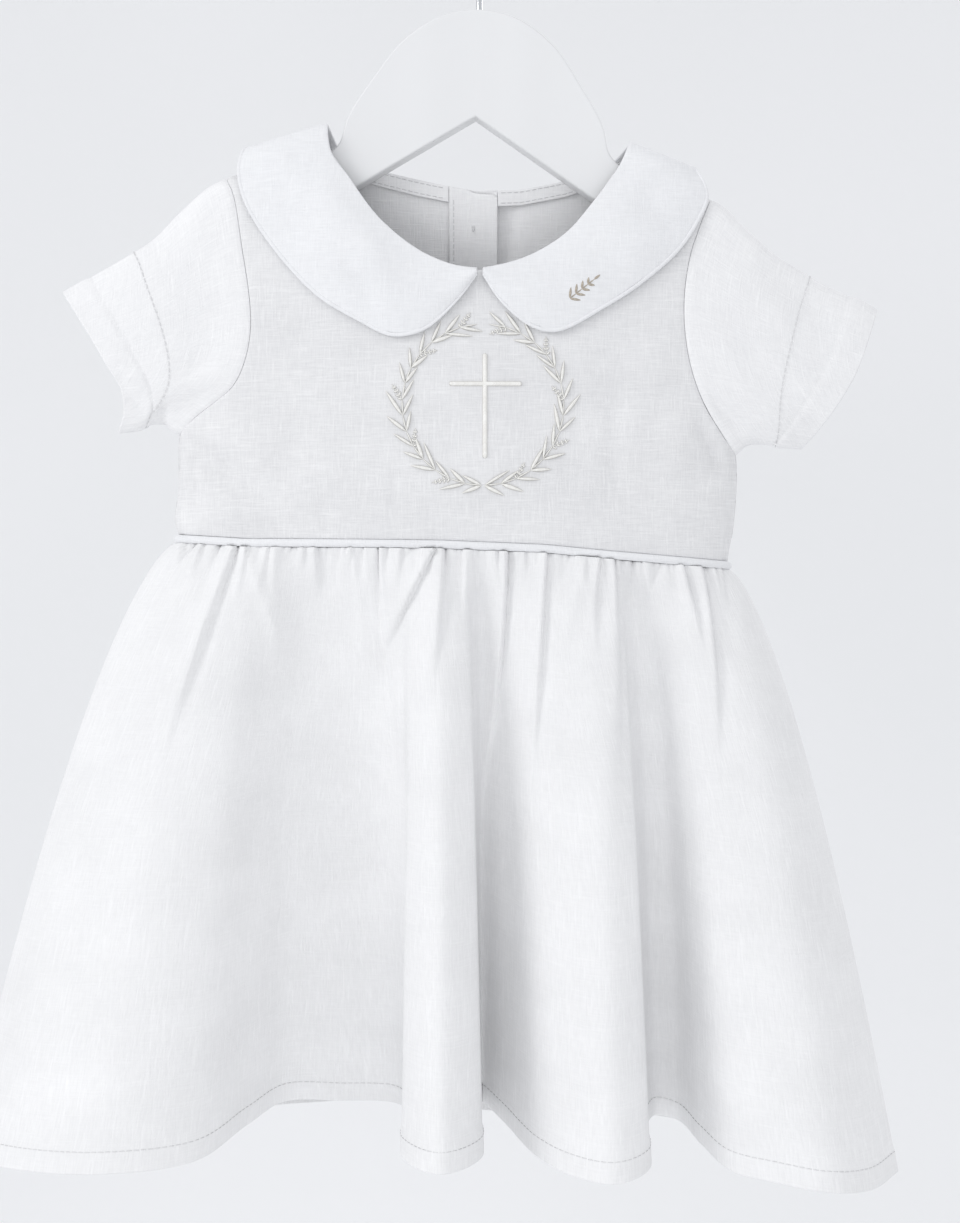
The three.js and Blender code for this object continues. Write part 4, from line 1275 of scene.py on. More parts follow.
def linen_material(name, dark, light, slub, seed, cross):
    """Plain woven linen: uneven threads both ways, with a thicker slub here and there."""
    material, tree, shader = new_material(
        name, 0.9, Sheen_Weight=0.12, Sheen_Roughness=0.5, Specular_IOR_Level=0.25
    )
    weave = node(tree, "UVMap", uv_map="weave").outputs[0]
    turned = node(tree, "Mapping", [("Vector", weave), ("Rotation", (0, 0, math.pi / 2))])
    threads, slubs = [], []
    for run, coordinates in enumerate((weave, turned.outputs[0])):
        first = seed + 7 * run
        threads.append(stretched_noise(tree, coordinates, *THREAD_SIZE, first))
        thick = stretched_noise(tree, coordinates, *SLUB_SIZE, first + 3, 0.0)
        slubs.append(ranged(tree, thick, 0.6, 0.75, 0.0, 1.0))
    for kind in (threads, slubs):
        kind[1] = math_node(tree, "MULTIPLY", kind[1], cross)
    both = math_node(tree, "ADD", *threads)
    thick_ones = math_node(tree, "MAXIMUM", *slubs)
    cloudy = stretched_noise(tree, weave, *CLOUD_SIZE, seed + 20)
    height = math_node(tree, "ADD", both, math_node(tree, "MULTIPLY", thick_ones, slub))
    tone = math_node(tree, "ADD", math_node(tree, "MULTIPLY", height, 0.42),
                     math_node(tree, "MULTIPLY", cloudy, 0.4))
    tinted(tree, shader, tone, (0.38, 0.95), dark, light)
    roughened(tree, shader, height, (0.7, 1.6), (0.95, 0.8))
    add_bump(tree, shader, height, 0.55, 0.0003)
    return material


PAINTED_RIM_SHADE = 0.62  # how dark the painted shade is where threads dive into the cloth


def thread_material(name, dark, light, pitch, roughness):
    """Satin stitch: threads that lie side by side across the weave's first direction.

    Where they turn down into the cloth, to the front or the back, painted shade darkens them.
    """
    material, tree, shader = new_material(
        name, roughness, Sheen_Weight=0.2, Sheen_Roughness=0.35, Specular_IOR_Level=0.4
    )
    weave = node(tree, "UVMap", uv_map="weave").outputs[0]
    threads = stretched_noise(tree, weave, pitch, 0.02, 5.0)
    patches = stretched_noise(tree, weave, 0.004, 0.004, 9.0)
    tone = math_node(tree, "ADD", math_node(tree, "MULTIPLY", threads, 0.6),
                     math_node(tree, "MULTIPLY", patches, 0.4))
    factor = ranged(tree, tone, 0.3, 0.7, 0.0, 1.0)
    # Painted shade: the more a thread's face turns away from the front, the darker its colour
    normal = node(tree, "TexCoord").outputs["Normal"]
    across = node(tree, "SeparateXYZ", [("Vector", normal)]).outputs["Y"]
    flat = ranged(tree, math_node(tree, "MULTIPLY", across, across), 0.1, 0.6, 0.0, 1.0)
    rim_painted_shade = [PAINTED_RIM_SHADE * value for value in dark]
    sewn = colour_mix(tree, flat, rim_painted_shade, colour_mix(tree, factor, dark, light))
    tree.links.new(sewn, shader.inputs["Base Color"])
    add_bump(tree, shader, threads, 0.6, 0.0003)
    return material


def surface_noise(tree, size, seed):
    """Noise of one size in the object's own metres."""
    coordinates = node(tree, "TexCoord").outputs["Object"]
    return stretched_noise(tree, coordinates, size, size, seed)


def painted_wood_material():
    """White satin paint over wood: a little grain and brush marks under a thin coat."""
    material, tree, shader = new_material(
        "painted_wood", 0.42, Coat_Weight=0.15, Coat_Roughness=0.35
    )
    coordinates = node(tree, "TexCoord").outputs["Object"]
    grain = stretched_noise(tree, coordinates, 0.03, 0.002, 2.0)
    peel = surface_noise(tree, 0.0012, 4.0)
    worn = surface_noise(tree, 0.04, 8.0)
    tinted(tree, shader, worn, (0.3, 0.7), (0.79, 0.795, 0.802), (0.825, 0.83, 0.838))
    roughened(tree, shader, worn, (0.3, 0.7), (0.36, 0.5))
    height = math_node(tree, "ADD", grain, math_node(tree, "MULTIPLY", peel, 0.5))
    add_bump(tree, shader, height, 0.12, 0.0003)
    return material


def steel_material():
    """Bright plated wire with fine lines drawn along it."""
    material, tree, shader = new_material("hook_steel", 0.16, Metallic=1.0)
    drawn = surface_noise(tree, 0.0006, 3.0)
    spots = surface_noise(tree, 0.012, 6.0)
    tinted(tree, shader, spots, (0.35, 0.7), (0.6, 0.61, 0.63), (0.72, 0.73, 0.75))
    roughened(tree, shader, drawn, (0.3, 0.7), (0.12, 0.24))
    add_bump(tree, shader, drawn, 0.08, 0.0001)
    return material


def shell_material():
    """Mother of pearl: cloudy bands under a clear polish."""
    material, tree, shader = new_material(
        "button_shell", 0.22, Coat_Weight=0.5, Coat_Roughness=0.08, Sheen_Weight=0.1
    )
    coordinates = node(tree, "TexCoord").outputs["Object"]
    bands = stretched_noise(tree, coordinates, 0.006, 0.0016, 11.0, 3.0)
    tinted(tree, shader, bands, (0.35, 0.65), (0.8, 0.765, 0.73), (0.88, 0.88, 0.87))
    roughened(tree, shader, bands, (0.3, 0.7), (0.16, 0.34))
    add_bump(tree, shader, bands, 0.1, 0.0002)
    return material


LINENS = [
    # name, dark and light tone, how much slubs show, seed, how much the threads across show
    # The bodice front: its darker tones are painted shade, for a greyer bodice
    ("linen", (0.71, 0.71, 0.72), (0.865, 0.865, 0.87), 0.35, 1.0, 1.0),
    # The same linen in lighter tones, painted light, for the sleeves and backs
    ("painted_lit_linen", (0.81, 0.81, 0.82), (0.93, 0.93, 0.935), 0.35, 1.0, 1.0),
    # The same linen in lighter tones, painted light, for the skirt; its threads across show less
    ("skirt_painted_lit_linen", (0.82, 0.82, 0.825), (0.94, 0.94, 0.945), 0.3, 2.0, 0.5),
    ("collar_linen", (0.785, 0.79, 0.805), (0.9, 0.905, 0.92), 0.25, 4.0, 1.0),
    ("binding_linen", (0.83, 0.83, 0.84), (0.94, 0.94, 0.945), 0.25, 8.0, 1.0),
]
THREADS = [
    # name, dark and light tone, pitch of the threads in metres, roughness
    ("ivory_thread", (0.8, 0.785, 0.745), (0.96, 0.955, 0.93), 0.0004, 0.45),
    ("taupe_thread", (0.36, 0.31, 0.25), (0.56, 0.5, 0.42), 0.00035, 0.5),
    ("white_thread", (0.8, 0.8, 0.8), (0.93, 0.93, 0.93), 0.0003, 0.6),
    # Grey tones of painted shade: the stitch lines are as dark as the shade in the holes between
    # stitches
    ("painted_shade_seam_thread", (0.62, 0.62, 0.63), (0.8, 0.8, 0.81), 0.0003, 0.6),
    ("hem_thread", (0.76, 0.76, 0.765), (0.89, 0.89, 0.895), 0.0003, 0.6),
]
linen, painted_lit_linen, skirt_painted_lit_linen, collar_linen, binding_linen = (
    linen_material(*row) for row in LINENS
)
ivory_thread, taupe_thread, white_thread, painted_shade_seam_thread, hem_thread = (
    thread_material(*row) for row in THREADS
)
painted_wood = painted_wood_material()
steel = steel_material()
shell = shell_material()


CAMERA_DISTANCE = 850
CAMERA_Z = -345.5
HALF_HEIGHT = 293.5  # half of the photograph's height at the plane of the garment
SENSOR = 36


def add_camera():
    data = bpy.data.cameras.new("camera")
    data.sensor_width = SENSOR
    data.lens = SENSOR / 2 * CAMERA_DISTANCE / HALF_HEIGHT
    camera = in_scene("camera", data)
    camera.location = (0, -CAMERA_DISTANCE * MM, CAMERA_Z * MM)
    camera.rotation_euler = (math.pi / 2, 0, 0)
    bpy.context.scene.camera = camera


def soft_light(name, place, target, size, power):
    """A round soft light that shines from a place towards a target, in metres."""
    data = bpy.data.lights.new(name, "AREA")
    data.shape = "DISK"
    data.size = size
    data.energy = power
    light = in_scene(name, data)
    light.location = place
    way = Vector(target) - Vector(place)
    light.rotation_euler = way.to_track_quat("-Z", "Y").to_euler()
    light.visible_camera = False


GARMENT_MIDDLE = (0, 0, -0.35)
STAGE_BACK_Y = 2.4
STAGE_FLOOR_Z = -1.6
STAGE_TURN = 0.6  # radius of the turn between the floor and the backdrop
STAGE_HALF_WIDTH = 7
STAGE_FRONT_Y = -5
STAGE_TOP_Z = 6
STAGE_TURN_STEPS = 12
LIGHTS = [
    # name, place, target, size, power
    ("key", (-1.3, -0.75, 0.2), GARMENT_MIDDLE, 0.7, 5.4),
    ("fill", (-0.1, -1.2, -1.05), (0, 0, -0.62), 0.9, 2.7),
    ("top", (0.1, -0.7, 0.75), (0, 0.05, -0.16), 0.6, 0.9),
    ("rear", (1.3, 1.0, 0.35), GARMENT_MIDDLE, 0.7, 4.6),
]
SKY_COLOUR = (0.965, 0.975, 1.0, 1)
SKY_STRENGTH = 0.83


def stage_material(name, glow):
    """A pale matt surface that glows a little, as a lit studio backdrop does."""
    material, tree, shader = new_material(name, 0.95, Emission_Strength=glow)
    cloudy = surface_noise(tree, 0.9, 2.0)
    tinted(tree, shader, cloudy, (0.3, 0.7), (0.84, 0.845, 0.85), (0.87, 0.873, 0.88))
    shader.inputs["Emission Color"].default_value = (0.96, 0.97, 1.0, 1)
    return material


def stage_sheet(name, profile, material):
    """A sheet across the whole stage that follows a profile of y and z, in metres."""
    vertices = [(x, y, z) for y, z in profile for x in (-STAGE_HALF_WIDTH, STAGE_HALF_WIDTH)]
    faces = [(2 * i, 2 * i + 1, 2 * i + 3, 2 * i + 2) for i in range(len(profile) - 1)]
    mesh = bpy.data.meshes.new(name)
    mesh.from_pydata(vertices, [], faces)
    mesh.polygons.foreach_set("use_smooth", [True] * len(mesh.polygons))
    mesh.materials.append(material)
    in_scene(name, mesh)


def add_stage():
    turn = [math.pi / 2 * i / STAGE_TURN_STEPS for i in range(STAGE_TURN_STEPS + 1)]
    middle_y, middle_z = STAGE_BACK_Y - STAGE_TURN, STAGE_FLOOR_Z + STAGE_TURN
    curve = [(middle_y + STAGE_TURN * math.sin(a), middle_z - STAGE_TURN * math.cos(a))
             for a in turn]
    floor = [(STAGE_FRONT_Y, STAGE_FLOOR_Z), curve[0]]
    wall = [*curve, (STAGE_BACK_Y, STAGE_TOP_Z)]
    stage_sheet("floor", floor, stage_material("pale_floor", 0.02))
    stage_sheet("backdrop", wall, stage_material("pale_backdrop", 0.095))


def add_light():
    for row in LIGHTS:
        soft_light(*row)
    world = bpy.data.worlds.new("pale")
    world.use_nodes = True
    background = world.node_tree.nodes["Background"]
    background.inputs["Color"].default_value = SKY_COLOUR
    background.inputs["Strength"].default_value = SKY_STRENGTH
    bpy.context.scene.world = world
    bpy.context.scene.view_settings.view_transform = "Standard"


add_camera()
add_stage()
add_light()


FRONT_OF_ALL = -400  # y of a place in front of every piece
SEAM_POINTS = 160


class Surface:
    """Finds the place on a finished piece that lies straight behind a point of the front view."""

    def __init__(self, piece):
        mesh = piece.data
        vertices = [vertex.co / MM for vertex in mesh.vertices]
        self.tree = BVHTree.FromPolygons(vertices, [face.vertices[:] for face in mesh.polygons])

    def at(self, x, z):
        """The place and its normal on the front of the piece, at x and z."""
        start = Vector((x, FRONT_OF_ALL, z))
        place, normal, _, _ = self.tree.ray_cast(start, Vector((0, 1, 0)))
        if place is None:
            place, normal, _, _ = self.tree.find_nearest(Vector((x, 0, z)))
        if normal.y > 0:
            normal = -normal
        return np.array(place), np.array(normal)


def joined_object(name, parts, material):
    """One mesh from many small ones, each its vertices, faces and weave coordinates."""
    vertices, faces, uv, count = [], [], [], 0
    for part_vertices, part_faces, part_uv in parts:
        vertices.append(part_vertices)
        faces += [tuple(int(i) + count for i in face) for face in part_faces]
        uv += [part_uv[i] for face in part_faces for i in face]
        count += len(part_vertices)
    return new_object(name, np.vstack(vertices), faces, uv, material)


def grid_faces(rows, columns):
    row, column = np.mgrid[0 : rows - 1, 0 : columns - 1]
    first = (row * columns + column).ravel()
    return np.stack([first, first + 1, first + columns + 1, first + columns], axis=1)


def ring_faces(rings, sides):
    """Faces between rings of points, and over the first and the last ring."""
    faces = []
    for i in range(rings - 1):
        for j in range(sides):
            a, b = i * sides + j, i * sides + (j + 1) % sides
            faces.append((a, a + sides, b + sides, b))
    last = (rings - 1) * sides
    return faces + [tuple(range(sides)), tuple(range(last, last + sides))[::-1]]


# Stitches: low capsules that lie along a line
STITCH_SIDES = 6
STITCH_WEAVE = (0.4, 0.8)  # how far its thread's looks go round each side and along each ring
STITCH_RAISED = 0.2  # how far its middle lies over the cloth, times its radius
CAPSULE = table("along radius", [
    [-0.5, 0.35],
    [-0.36, 1],
    [0.36, 1],
    [0.5, 0.35],
])


def capsule(centre, along, out, length, radius, flat=0.7):
    """A stitch: a capsule with its length along a direction, flattened onto the cloth."""
    side = np.cross(along, out)
    turn = np.arange(STITCH_SIDES) * 2 * np.pi / STITCH_SIDES
    ring = np.cos(turn)[:, None] * side + flat * np.sin(turn)[:, None] * out
    rows = [centre + a * length * along + r * radius * ring
            for a, r in zip(CAPSULE["along"], CAPSULE["radius"])]
    u, v = STITCH_WEAVE
    uv = [(j * u, i * v) for i in range(len(rows)) for j in range(STITCH_SIDES)]
    return np.vstack(rows), ring_faces(len(rows), STITCH_SIDES), uv


def stitch_line(points, normals, length, gap, radius):
    """Stitches along a line of points on the cloth."""
    points, normals = np.asarray(points), np.asarray(normals)
    along = run_of(points)

    def read(values, place):
        return np.array([np.interp(place, along, axis) for axis in values.T])

    parts = []
    for start in np.arange(gap, along[-1] - length, length + gap):
        first, last = read(points, start), read(points, start + length)
        out = read(normals, start)
        out = out / np.linalg.norm(out)
        way = (last - first) / np.linalg.norm(last - first)
        centre = (first + last) / 2 + out * radius * STITCH_RAISED
        parts.append(capsule(centre, way, out, length, radius))
    return parts


def seam_on(surface, x, z):
    """A line over a piece's surface and its normals, from x and z along it."""
    curve = outline(np.stack([x, z], axis=1))(np.linspace(0, 1, SEAM_POINTS))
    return zip(*(surface.at(*point) for point in curve))


# Satin stitch
LEAF_ROWS = 12
LEAF_COLUMNS = 7
SATIN_SUNK = 0.12  # how far its edges dive into the cloth
SATIN_TIPS = 0.35  # how tall its tips are, times its middle
BLUNT_END = 0.3  # how long a blunt end is, times the width


def satin(surface, x, z, angle, length, width, tall, blunt=False, rows=LEAF_ROWS):
    """A padded shape of satin stitch that starts at x, z and runs at an angle in degrees."""
    s = np.linspace(0, 1, rows)
    t = np.linspace(-1, 1, LEAF_COLUMNS)
    if blunt:
        shape = np.clip(np.minimum(s, 1 - s) * length / (width * BLUNT_END), 0, 1) ** 0.5
    else:
        shape = np.sin(np.pi * s**0.8) ** 0.8
    half = width / 2 * shape
    turn = math.radians(angle)
    ahead = np.array([math.cos(turn), math.sin(turn)])
    side = np.array([-ahead[1], ahead[0]])
    vertices, uv = [], []
    for i, share in enumerate(s):
        for across in t:
            at = np.array([x, z]) + share * length * ahead + across * half[i] * side
            place, normal = surface.at(at[0], at[1])
            dome = math.sqrt(max(1 - across**2, 0)) * lerp(SATIN_TIPS, 1, shape[i])
            vertices.append(place + normal * (tall * dome * min(shape[i] * 2, 1) - SATIN_SUNK))
            uv.append((share * length + abs(across) * half[i], across * half[i]))
    return np.array(vertices), grid_faces(rows, LEAF_COLUMNS)[:, ::-1], uv


WREATH_X = 1.4
WREATH_Z = -248.6
WREATH_RADIUS = 38
WREATH_FROM = 1  # degrees from the bottom of the ring, on either side
WREATH_TO = 174
WREATH_STEP = 11.6
LEAF_LENGTH = 13.5
LEAF_WIDTH = 2.1
LEAF_TALL = 1.5
LEAF_LEAN = 27
STEM_OVERLAP = 1.2
STEM_WIDTH = 1.0
STEM_TALL = 0.85
TWIG_EVERY = 3  # every third place has a twig of buds on one side
TWIG_LEAN = 38
BESIDE_TWIG = (0.7, 0.85, 0.9)  # the lean, length and width of the leaf beside it
TWIG_PAIRS = 4
# A twig's step from leaves to leaves, its stem's stitches, and its leaves: lean, how much the
# lean varies, length, how much shorter each next pair is, width and height
BUDS = (2.1, (2.6, 0.7, 0.7), (48, 8, 2.5, 0.35, 1.15, 0.9))
COLLAR_TWIG = (3.6, (4.2, 0.7, 0.4), (46, 0, 5.6, 0.7, 1.35, 0.5))
COLLAR_TWIG_PLACE = (42, -199, 38)  # x, z and angle
COLLAR_TWIG_END = (4, 1.3, 0.5)  # length, width and height of the leaf at its tip
CROSS_WIDTH = 2.5
CROSS_ROWS = 60
CROSS_BARS = [
    # x and z of its start, angle, length, height of the stitches
    (2.3, -274, 90, 49.9, 1.15),
    (-14.6, -238.7, 0, 34.4, 1.265),
]


def along_way(x, z, angle, distance):
    """The place at a distance from x, z in a direction."""
    turn = math.radians(angle)
    return x + distance * math.cos(turn), z + distance * math.sin(turn)


def twig(surface, x, z, angle, source, shape):
    """A stem of short stitches with a pair of small leaves at the start of each."""
    step, stem, (lean, wobble, length, shorter, width, tall) = shape
    parts = []
    for i in range(TWIG_PAIRS):
        place = along_way(x, z, angle, step * i)
        parts.append(satin(surface, *place, angle, *stem))
        for side in (-lean, lean):
            turn = angle + side + source.uniform(-wobble, wobble)
            parts.append(satin(surface, *place, turn, length - shorter * i, width, tall))
    return parts


def wreath(surface):
    """Two laurel branches that grow up from the bottom and meet at the top."""
    source = np.random.default_rng(11)
    parts = []
    for sign in (-1, 1):
        for number, degrees in enumerate(np.arange(WREATH_FROM, WREATH_TO, WREATH_STEP)):
            around = math.radians(degrees)
            x = WREATH_X + sign * WREATH_RADIUS * math.sin(around)
            z = WREATH_Z - WREATH_RADIUS * math.cos(around)
            tangent = degrees if sign > 0 else 180 - degrees
            parts.append(satin(surface, x, z, tangent + sign * WREATH_STEP / 2,
                               WREATH_RADIUS * math.radians(WREATH_STEP) + STEM_OVERLAP,
                               STEM_WIDTH, STEM_TALL))
            if number % TWIG_EVERY == TWIG_EVERY - 1:
                lean = TWIG_LEAN * (-1) ** (number // TWIG_EVERY)
                back, long, wide = BESIDE_TWIG
                parts += twig(surface, x, z, tangent + lean, source, BUDS)
                parts.append(satin(surface, x, z, tangent - lean * back, LEAF_LENGTH * long,
                                   LEAF_WIDTH * wide, LEAF_TALL))
                continue
            for lean in (-LEAF_LEAN, LEAF_LEAN):
                length = LEAF_LENGTH * source.uniform(0.75, 1.1)
                turn = tangent + lean + source.uniform(-7, 7)
                width = LEAF_WIDTH * source.uniform(0.85, 1.1)
                parts.append(satin(surface, x, z, turn, length, width, LEAF_TALL))
    return joined_object("embroidered_wreath", parts, ivory_thread)


def cross(surface):
    """A plain Latin cross in padded satin stitch."""
    parts = [satin(surface, x, z, angle, length, CROSS_WIDTH, tall, True, CROSS_ROWS)
             for x, z, angle, length, tall in CROSS_BARS]
    return joined_object("embroidered_cross", parts, ivory_thread)


def collar_sprig(surface):
    """A small plain sprig of leaves on the right collar."""
    x, z, angle = COLLAR_TWIG_PLACE
    parts = twig(surface, x, z, angle, np.random.default_rng(0), COLLAR_TWIG)
    tip = along_way(x, z, angle, COLLAR_TWIG[0] * TWIG_PAIRS)
    parts.append(satin(surface, *tip, angle, *COLLAR_TWIG_END))
    return joined_object("embroidered_sprig", parts, taupe_thread)


# Hanger, measured from the top of its arch, right half
HANGER_THICKNESS = 10
HANGER_EDGE = 1.1  # radius of its rounded edges
HANGER_TILT = 0.04
HANGER_TOP_Z = -58
HANGER_UPPER = table("x z", [
    [0, 0],
    [18, -3.5],
    [36, -16],
    [49.5, -34.3],
    [61, -53.5],
    [65, -67],
    [73.5, -74.2],
    [90, -80.4],
    [104, -86.2],
    [108.5, -91],
    [108, -99.5],
    [102, -104.5],
])
HANGER_LOWER = table("x z", [
    [102, -104.5],
    [80, -97],
    [59, -89.3],
    [0, -51.4],
])


EDGE_BENDS = np.radians([0, 15, 32, 50, 70, 90])


def hanger_loop():
    """The hanger's outline, in even small steps."""
    upper, lower_points = points_of(HANGER_UPPER), points_of(HANGER_LOWER)
    whole = np.vstack([upper[:0:-1] * [-1, 1], upper])
    top = outline(whole, 900)(np.linspace(0, 1, 260))
    lower = outline(lower_points[:3])(np.linspace(0, 1, 24))[1:]
    straight_run = straight(lower[-1], lower_points[-1])(np.linspace(0, 1, 30))[1:]
    right = np.vstack([lower, straight_run])
    return np.vstack([top, right, right[-2::-1] * [-1, 1]])


def hanger_body():
    """A flat wooden arch with rounded edges."""
    loop = hanger_loop()
    way = 0
    for step in (loop - np.roll(loop, 1, axis=0), np.roll(loop, -1, axis=0) - loop):
        way = way + step / np.linalg.norm(step, axis=1, keepdims=True)
    way /= np.linalg.norm(way, axis=1, keepdims=True)
    inward = np.stack([way[:, 1], -way[:, 0]], axis=1)
    cos, sin = math.cos(HANGER_TILT), math.sin(HANGER_TILT)
    rings = []
    for side in (-1, 1):
        for bend in EDGE_BENDS[::-side]:
            x, z = (loop + inward * HANGER_EDGE * (1 - math.sin(bend))).T
            y = side * (HANGER_THICKNESS / 2 - HANGER_EDGE * (1 - math.cos(bend)))
            turned_z = z * cos - x * sin + HANGER_TOP_Z
            rings.append(np.stack([x * cos + z * sin, np.full(len(x), y), turned_z], axis=1))
    faces = ring_faces(len(rings), len(loop))
    body = new_object("hanger_wood", np.vstack(rings), faces, None, painted_wood)
    for flat_face in (-1, -2):
        body.data.polygons[flat_face].use_smooth = False
    return body


WIRE_RADIUS = 1.5
HOOK_INNER_RADIUS = 19
HOOK_BOW = [-55, -28, 0, 30, 60, 90, 120, 150, 178, 202]  # degrees round the hook's bow
HOOK_STEM = [(0, -3), (0, 7.3), (3.2, 14.3)]  # x, and z from the hanger's top
WIRE_SIDES = 20
WIRE_END = [(0.5, 0.87), (0.8, 0.6), (0.97, 0.24)]  # how far past its end, how thick there


def hanger_hook():
    """A bent wire with a rounded end, from the hanger's arch to the point that it hangs by."""
    radius = HOOK_INNER_RADIUS + WIRE_RADIUS
    bow = [(radius * math.cos(a), radius * math.sin(a) - HOOK_INNER_RADIUS)
           for a in map(math.radians, HOOK_BOW)]
    route = [(x, HANGER_TOP_Z + z) for x, z in HOOK_STEM] + bow
    path = outline(np.array(route), 900)(np.linspace(0, 1, 180))
    way = np.gradient(path, axis=0)
    way /= np.linalg.norm(way, axis=1, keepdims=True)
    side = np.stack([-way[:, 1], way[:, 0]], axis=1)
    turn = np.arange(WIRE_SIDES) * 2 * np.pi / WIRE_SIDES
    sections = [(place, out, WIRE_RADIUS) for place, out in zip(path, side)]
    sections += [(path[-1] + way[-1] * past * WIRE_RADIUS, side[-1], thick * WIRE_RADIUS)
                 for past, thick in WIRE_END]
    rings = []
    for place, out, size in sections:
        flat = place + size * np.cos(turn)[:, None] * out
        rings.append(np.stack([flat[:, 0], size * np.sin(turn), flat[:, 1]], axis=1))
    faces = ring_faces(len(rings), WIRE_SIDES)
    return new_object("hook_wire", np.vstack(rings), faces, None, steel)


BUTTON_COUNT = 4
BUTTON_RADIUS = 5.5
BUTTON_TOP_Z = -159
BUTTON_PITCH = 46
BUTTON_LIFT = 0.95  # from the middle of the cloth to the underside of a button
BUTTON_HOLE_RADIUS = 0.7
BUTTON_HOLE_OUT = 1.25
BUTTON_PROFILE = table("radius height", [
    [0, 0],
    [4.9, 0],
    [5.35, 0.25],
    [5.5, 0.8],
    [5.48, 1.5],
    [5.25, 2.1],
    [4.8, 2.4],
    [4.35, 2.34],
    [4.0, 1.95],
    [3.6, 1.68],
    [2.4, 1.55],
    [0, 1.5],
])
BUTTON_SIDES = 56
PIN_PROFILE = table("radius height", [
    [0, -1],
    [BUTTON_HOLE_RADIUS, -1],
    [BUTTON_HOLE_RADIUS, 4],
    [0, 4],
])
PIN_SIDES = 16
BUTTON_X = (PLACKET_LEFT_X + PLACKET_RIGHT_X) / 2
BUTTON_ZS = [BUTTON_TOP_Z - i * BUTTON_PITCH for i in range(BUTTON_COUNT)]
THREAD_LENGTH = 2.6
THREAD_SHIFT = 0.22  # how far a button's two threads lie from their middle
THREAD_TOP = 1.72  # their height over the underside of the button
THREAD_FOOT = 0.7  # the height of their parts in the holes
THREAD_RADIUS = (0.2, 0.3)  # over the button, and in its holes


def turned(profile, sides):
    """A mesh turned round the Y axis from a profile that starts and ends on the axis."""
    radii, heights = profile["radius"], profile["height"]
    turn = np.arange(sides) * 2 * np.pi / sides
    vertices = [[0, heights[0], 0]]
    for radius, height in zip(radii[1:-1], heights[1:-1]):
        vertices += [[radius * math.cos(t), height, radius * math.sin(t)] for t in turn]
    vertices.append([0, heights[-1], 0])
    last, top = len(vertices) - 1, len(vertices) - 1 - sides
    faces = []
    for j in range(sides):
        ahead = (j + 1) % sides
        faces.append((0, 1 + j, 1 + ahead))
        for low in range(1, top, sides):
            high = low + sides
            faces.append((low + j, high + j, high + ahead, low + ahead))
        faces.append((last, top + ahead, top + j))
    return np.array(vertices), faces


def pierced_button():
    """The mesh of one button with four holes, its underside at the origin, in millimetres."""
    vertices, faces = turned(BUTTON_PROFILE, BUTTON_SIDES)
    disc = new_object("disc", vertices / MM, faces)
    pin_vertices, pin_faces = turned(PIN_PROFILE, PIN_SIDES)
    all_vertices, all_faces = [], []
    for i in range(4):
        corner = math.pi / 4 + i * math.pi / 2
        out = np.array([math.cos(corner), 0, math.sin(corner)]) * BUTTON_HOLE_OUT
        all_faces += [tuple(v + i * len(pin_vertices) for v in face) for face in pin_faces]
        all_vertices.append(pin_vertices + out)
    pins = new_object("pins", np.vstack(all_vertices) / MM, all_faces)
    for piece in (disc, pins):
        outward(piece)
    cut = disc.modifiers.new("holes", "BOOLEAN")
    cut.object = pins
    cut.operation = "DIFFERENCE"
    shown = disc.evaluated_get(bpy.context.evaluated_depsgraph_get())
    mesh = shown.to_mesh()
    result = np.array([vertex.co for vertex in mesh.vertices])
    result_faces = [tuple(face.vertices) for face in mesh.polygons]
    for piece in (disc, pins):
        bpy.data.objects.remove(piece)
    return result, result_faces


def buttons():
    """The back buttons and the threads that hold them."""
    vertices, faces = pierced_button()
    side = BUTTON_HOLE_OUT * math.sqrt(0.5)
    across = np.array([1, 0, 0])
    thin, thick = THREAD_RADIUS
    made, threads = [], []
    for i, z in enumerate(BUTTON_ZS):
        above, below = (float(bodice_depth(BUTTON_X, z + s * BUTTON_RADIUS)) for s in (1, -1))
        tilt = math.atan2(below - above, 2 * BUTTON_RADIUS)
        out = np.array([0, math.cos(tilt), math.sin(tilt)])
        up = np.array([0, -math.sin(tilt), math.cos(tilt)])
        base = np.array([BUTTON_X, (above + below) / 2 + OVERLAP + BUTTON_LIFT, z])
        placed_vertices = base + vertices @ np.stack([across, out, up])
        button = new_object(f"button_{i + 1}_shell", placed_vertices, faces, None, shell)
        outward(button)
        made.append(button)
        for sign in (-1, 1):
            for shift in (-THREAD_SHIFT, THREAD_SHIFT):
                middle = base + across * (sign * side + shift) + out * THREAD_TOP
                threads.append(capsule(middle, up, out, THREAD_LENGTH, thin, 1.0))
            for end in (-1, 1):
                foot = base + across * sign * side + up * end * side + out * THREAD_FOOT
                threads.append(capsule(foot, out, up, THREAD_LENGTH, thick, 1.0))
    return made, joined_object("button_threads", threads, white_thread)


INNER_STITCH = (2.3, 0.7, 0.18)  # length, gap and radius of a stitch
BINDING_ROWS = (1.8, BINDING_WIDTH - 1.4)  # below the neck's edge
PLACKET_SEAM = (PLACKET_LEFT_X + 2.2, -145, -306)  # x, and z at its ends
# The three stitches that show on the placket at each button: how much each leans, how far apart
# they lie for that, their length and radius
BUTTON_STITCHES = ((-1.1, 0, 1.1), 0.4, 3.4, 0.3)
STITCH_LEAN = 0.18  # x for each step up, for a lean of 1


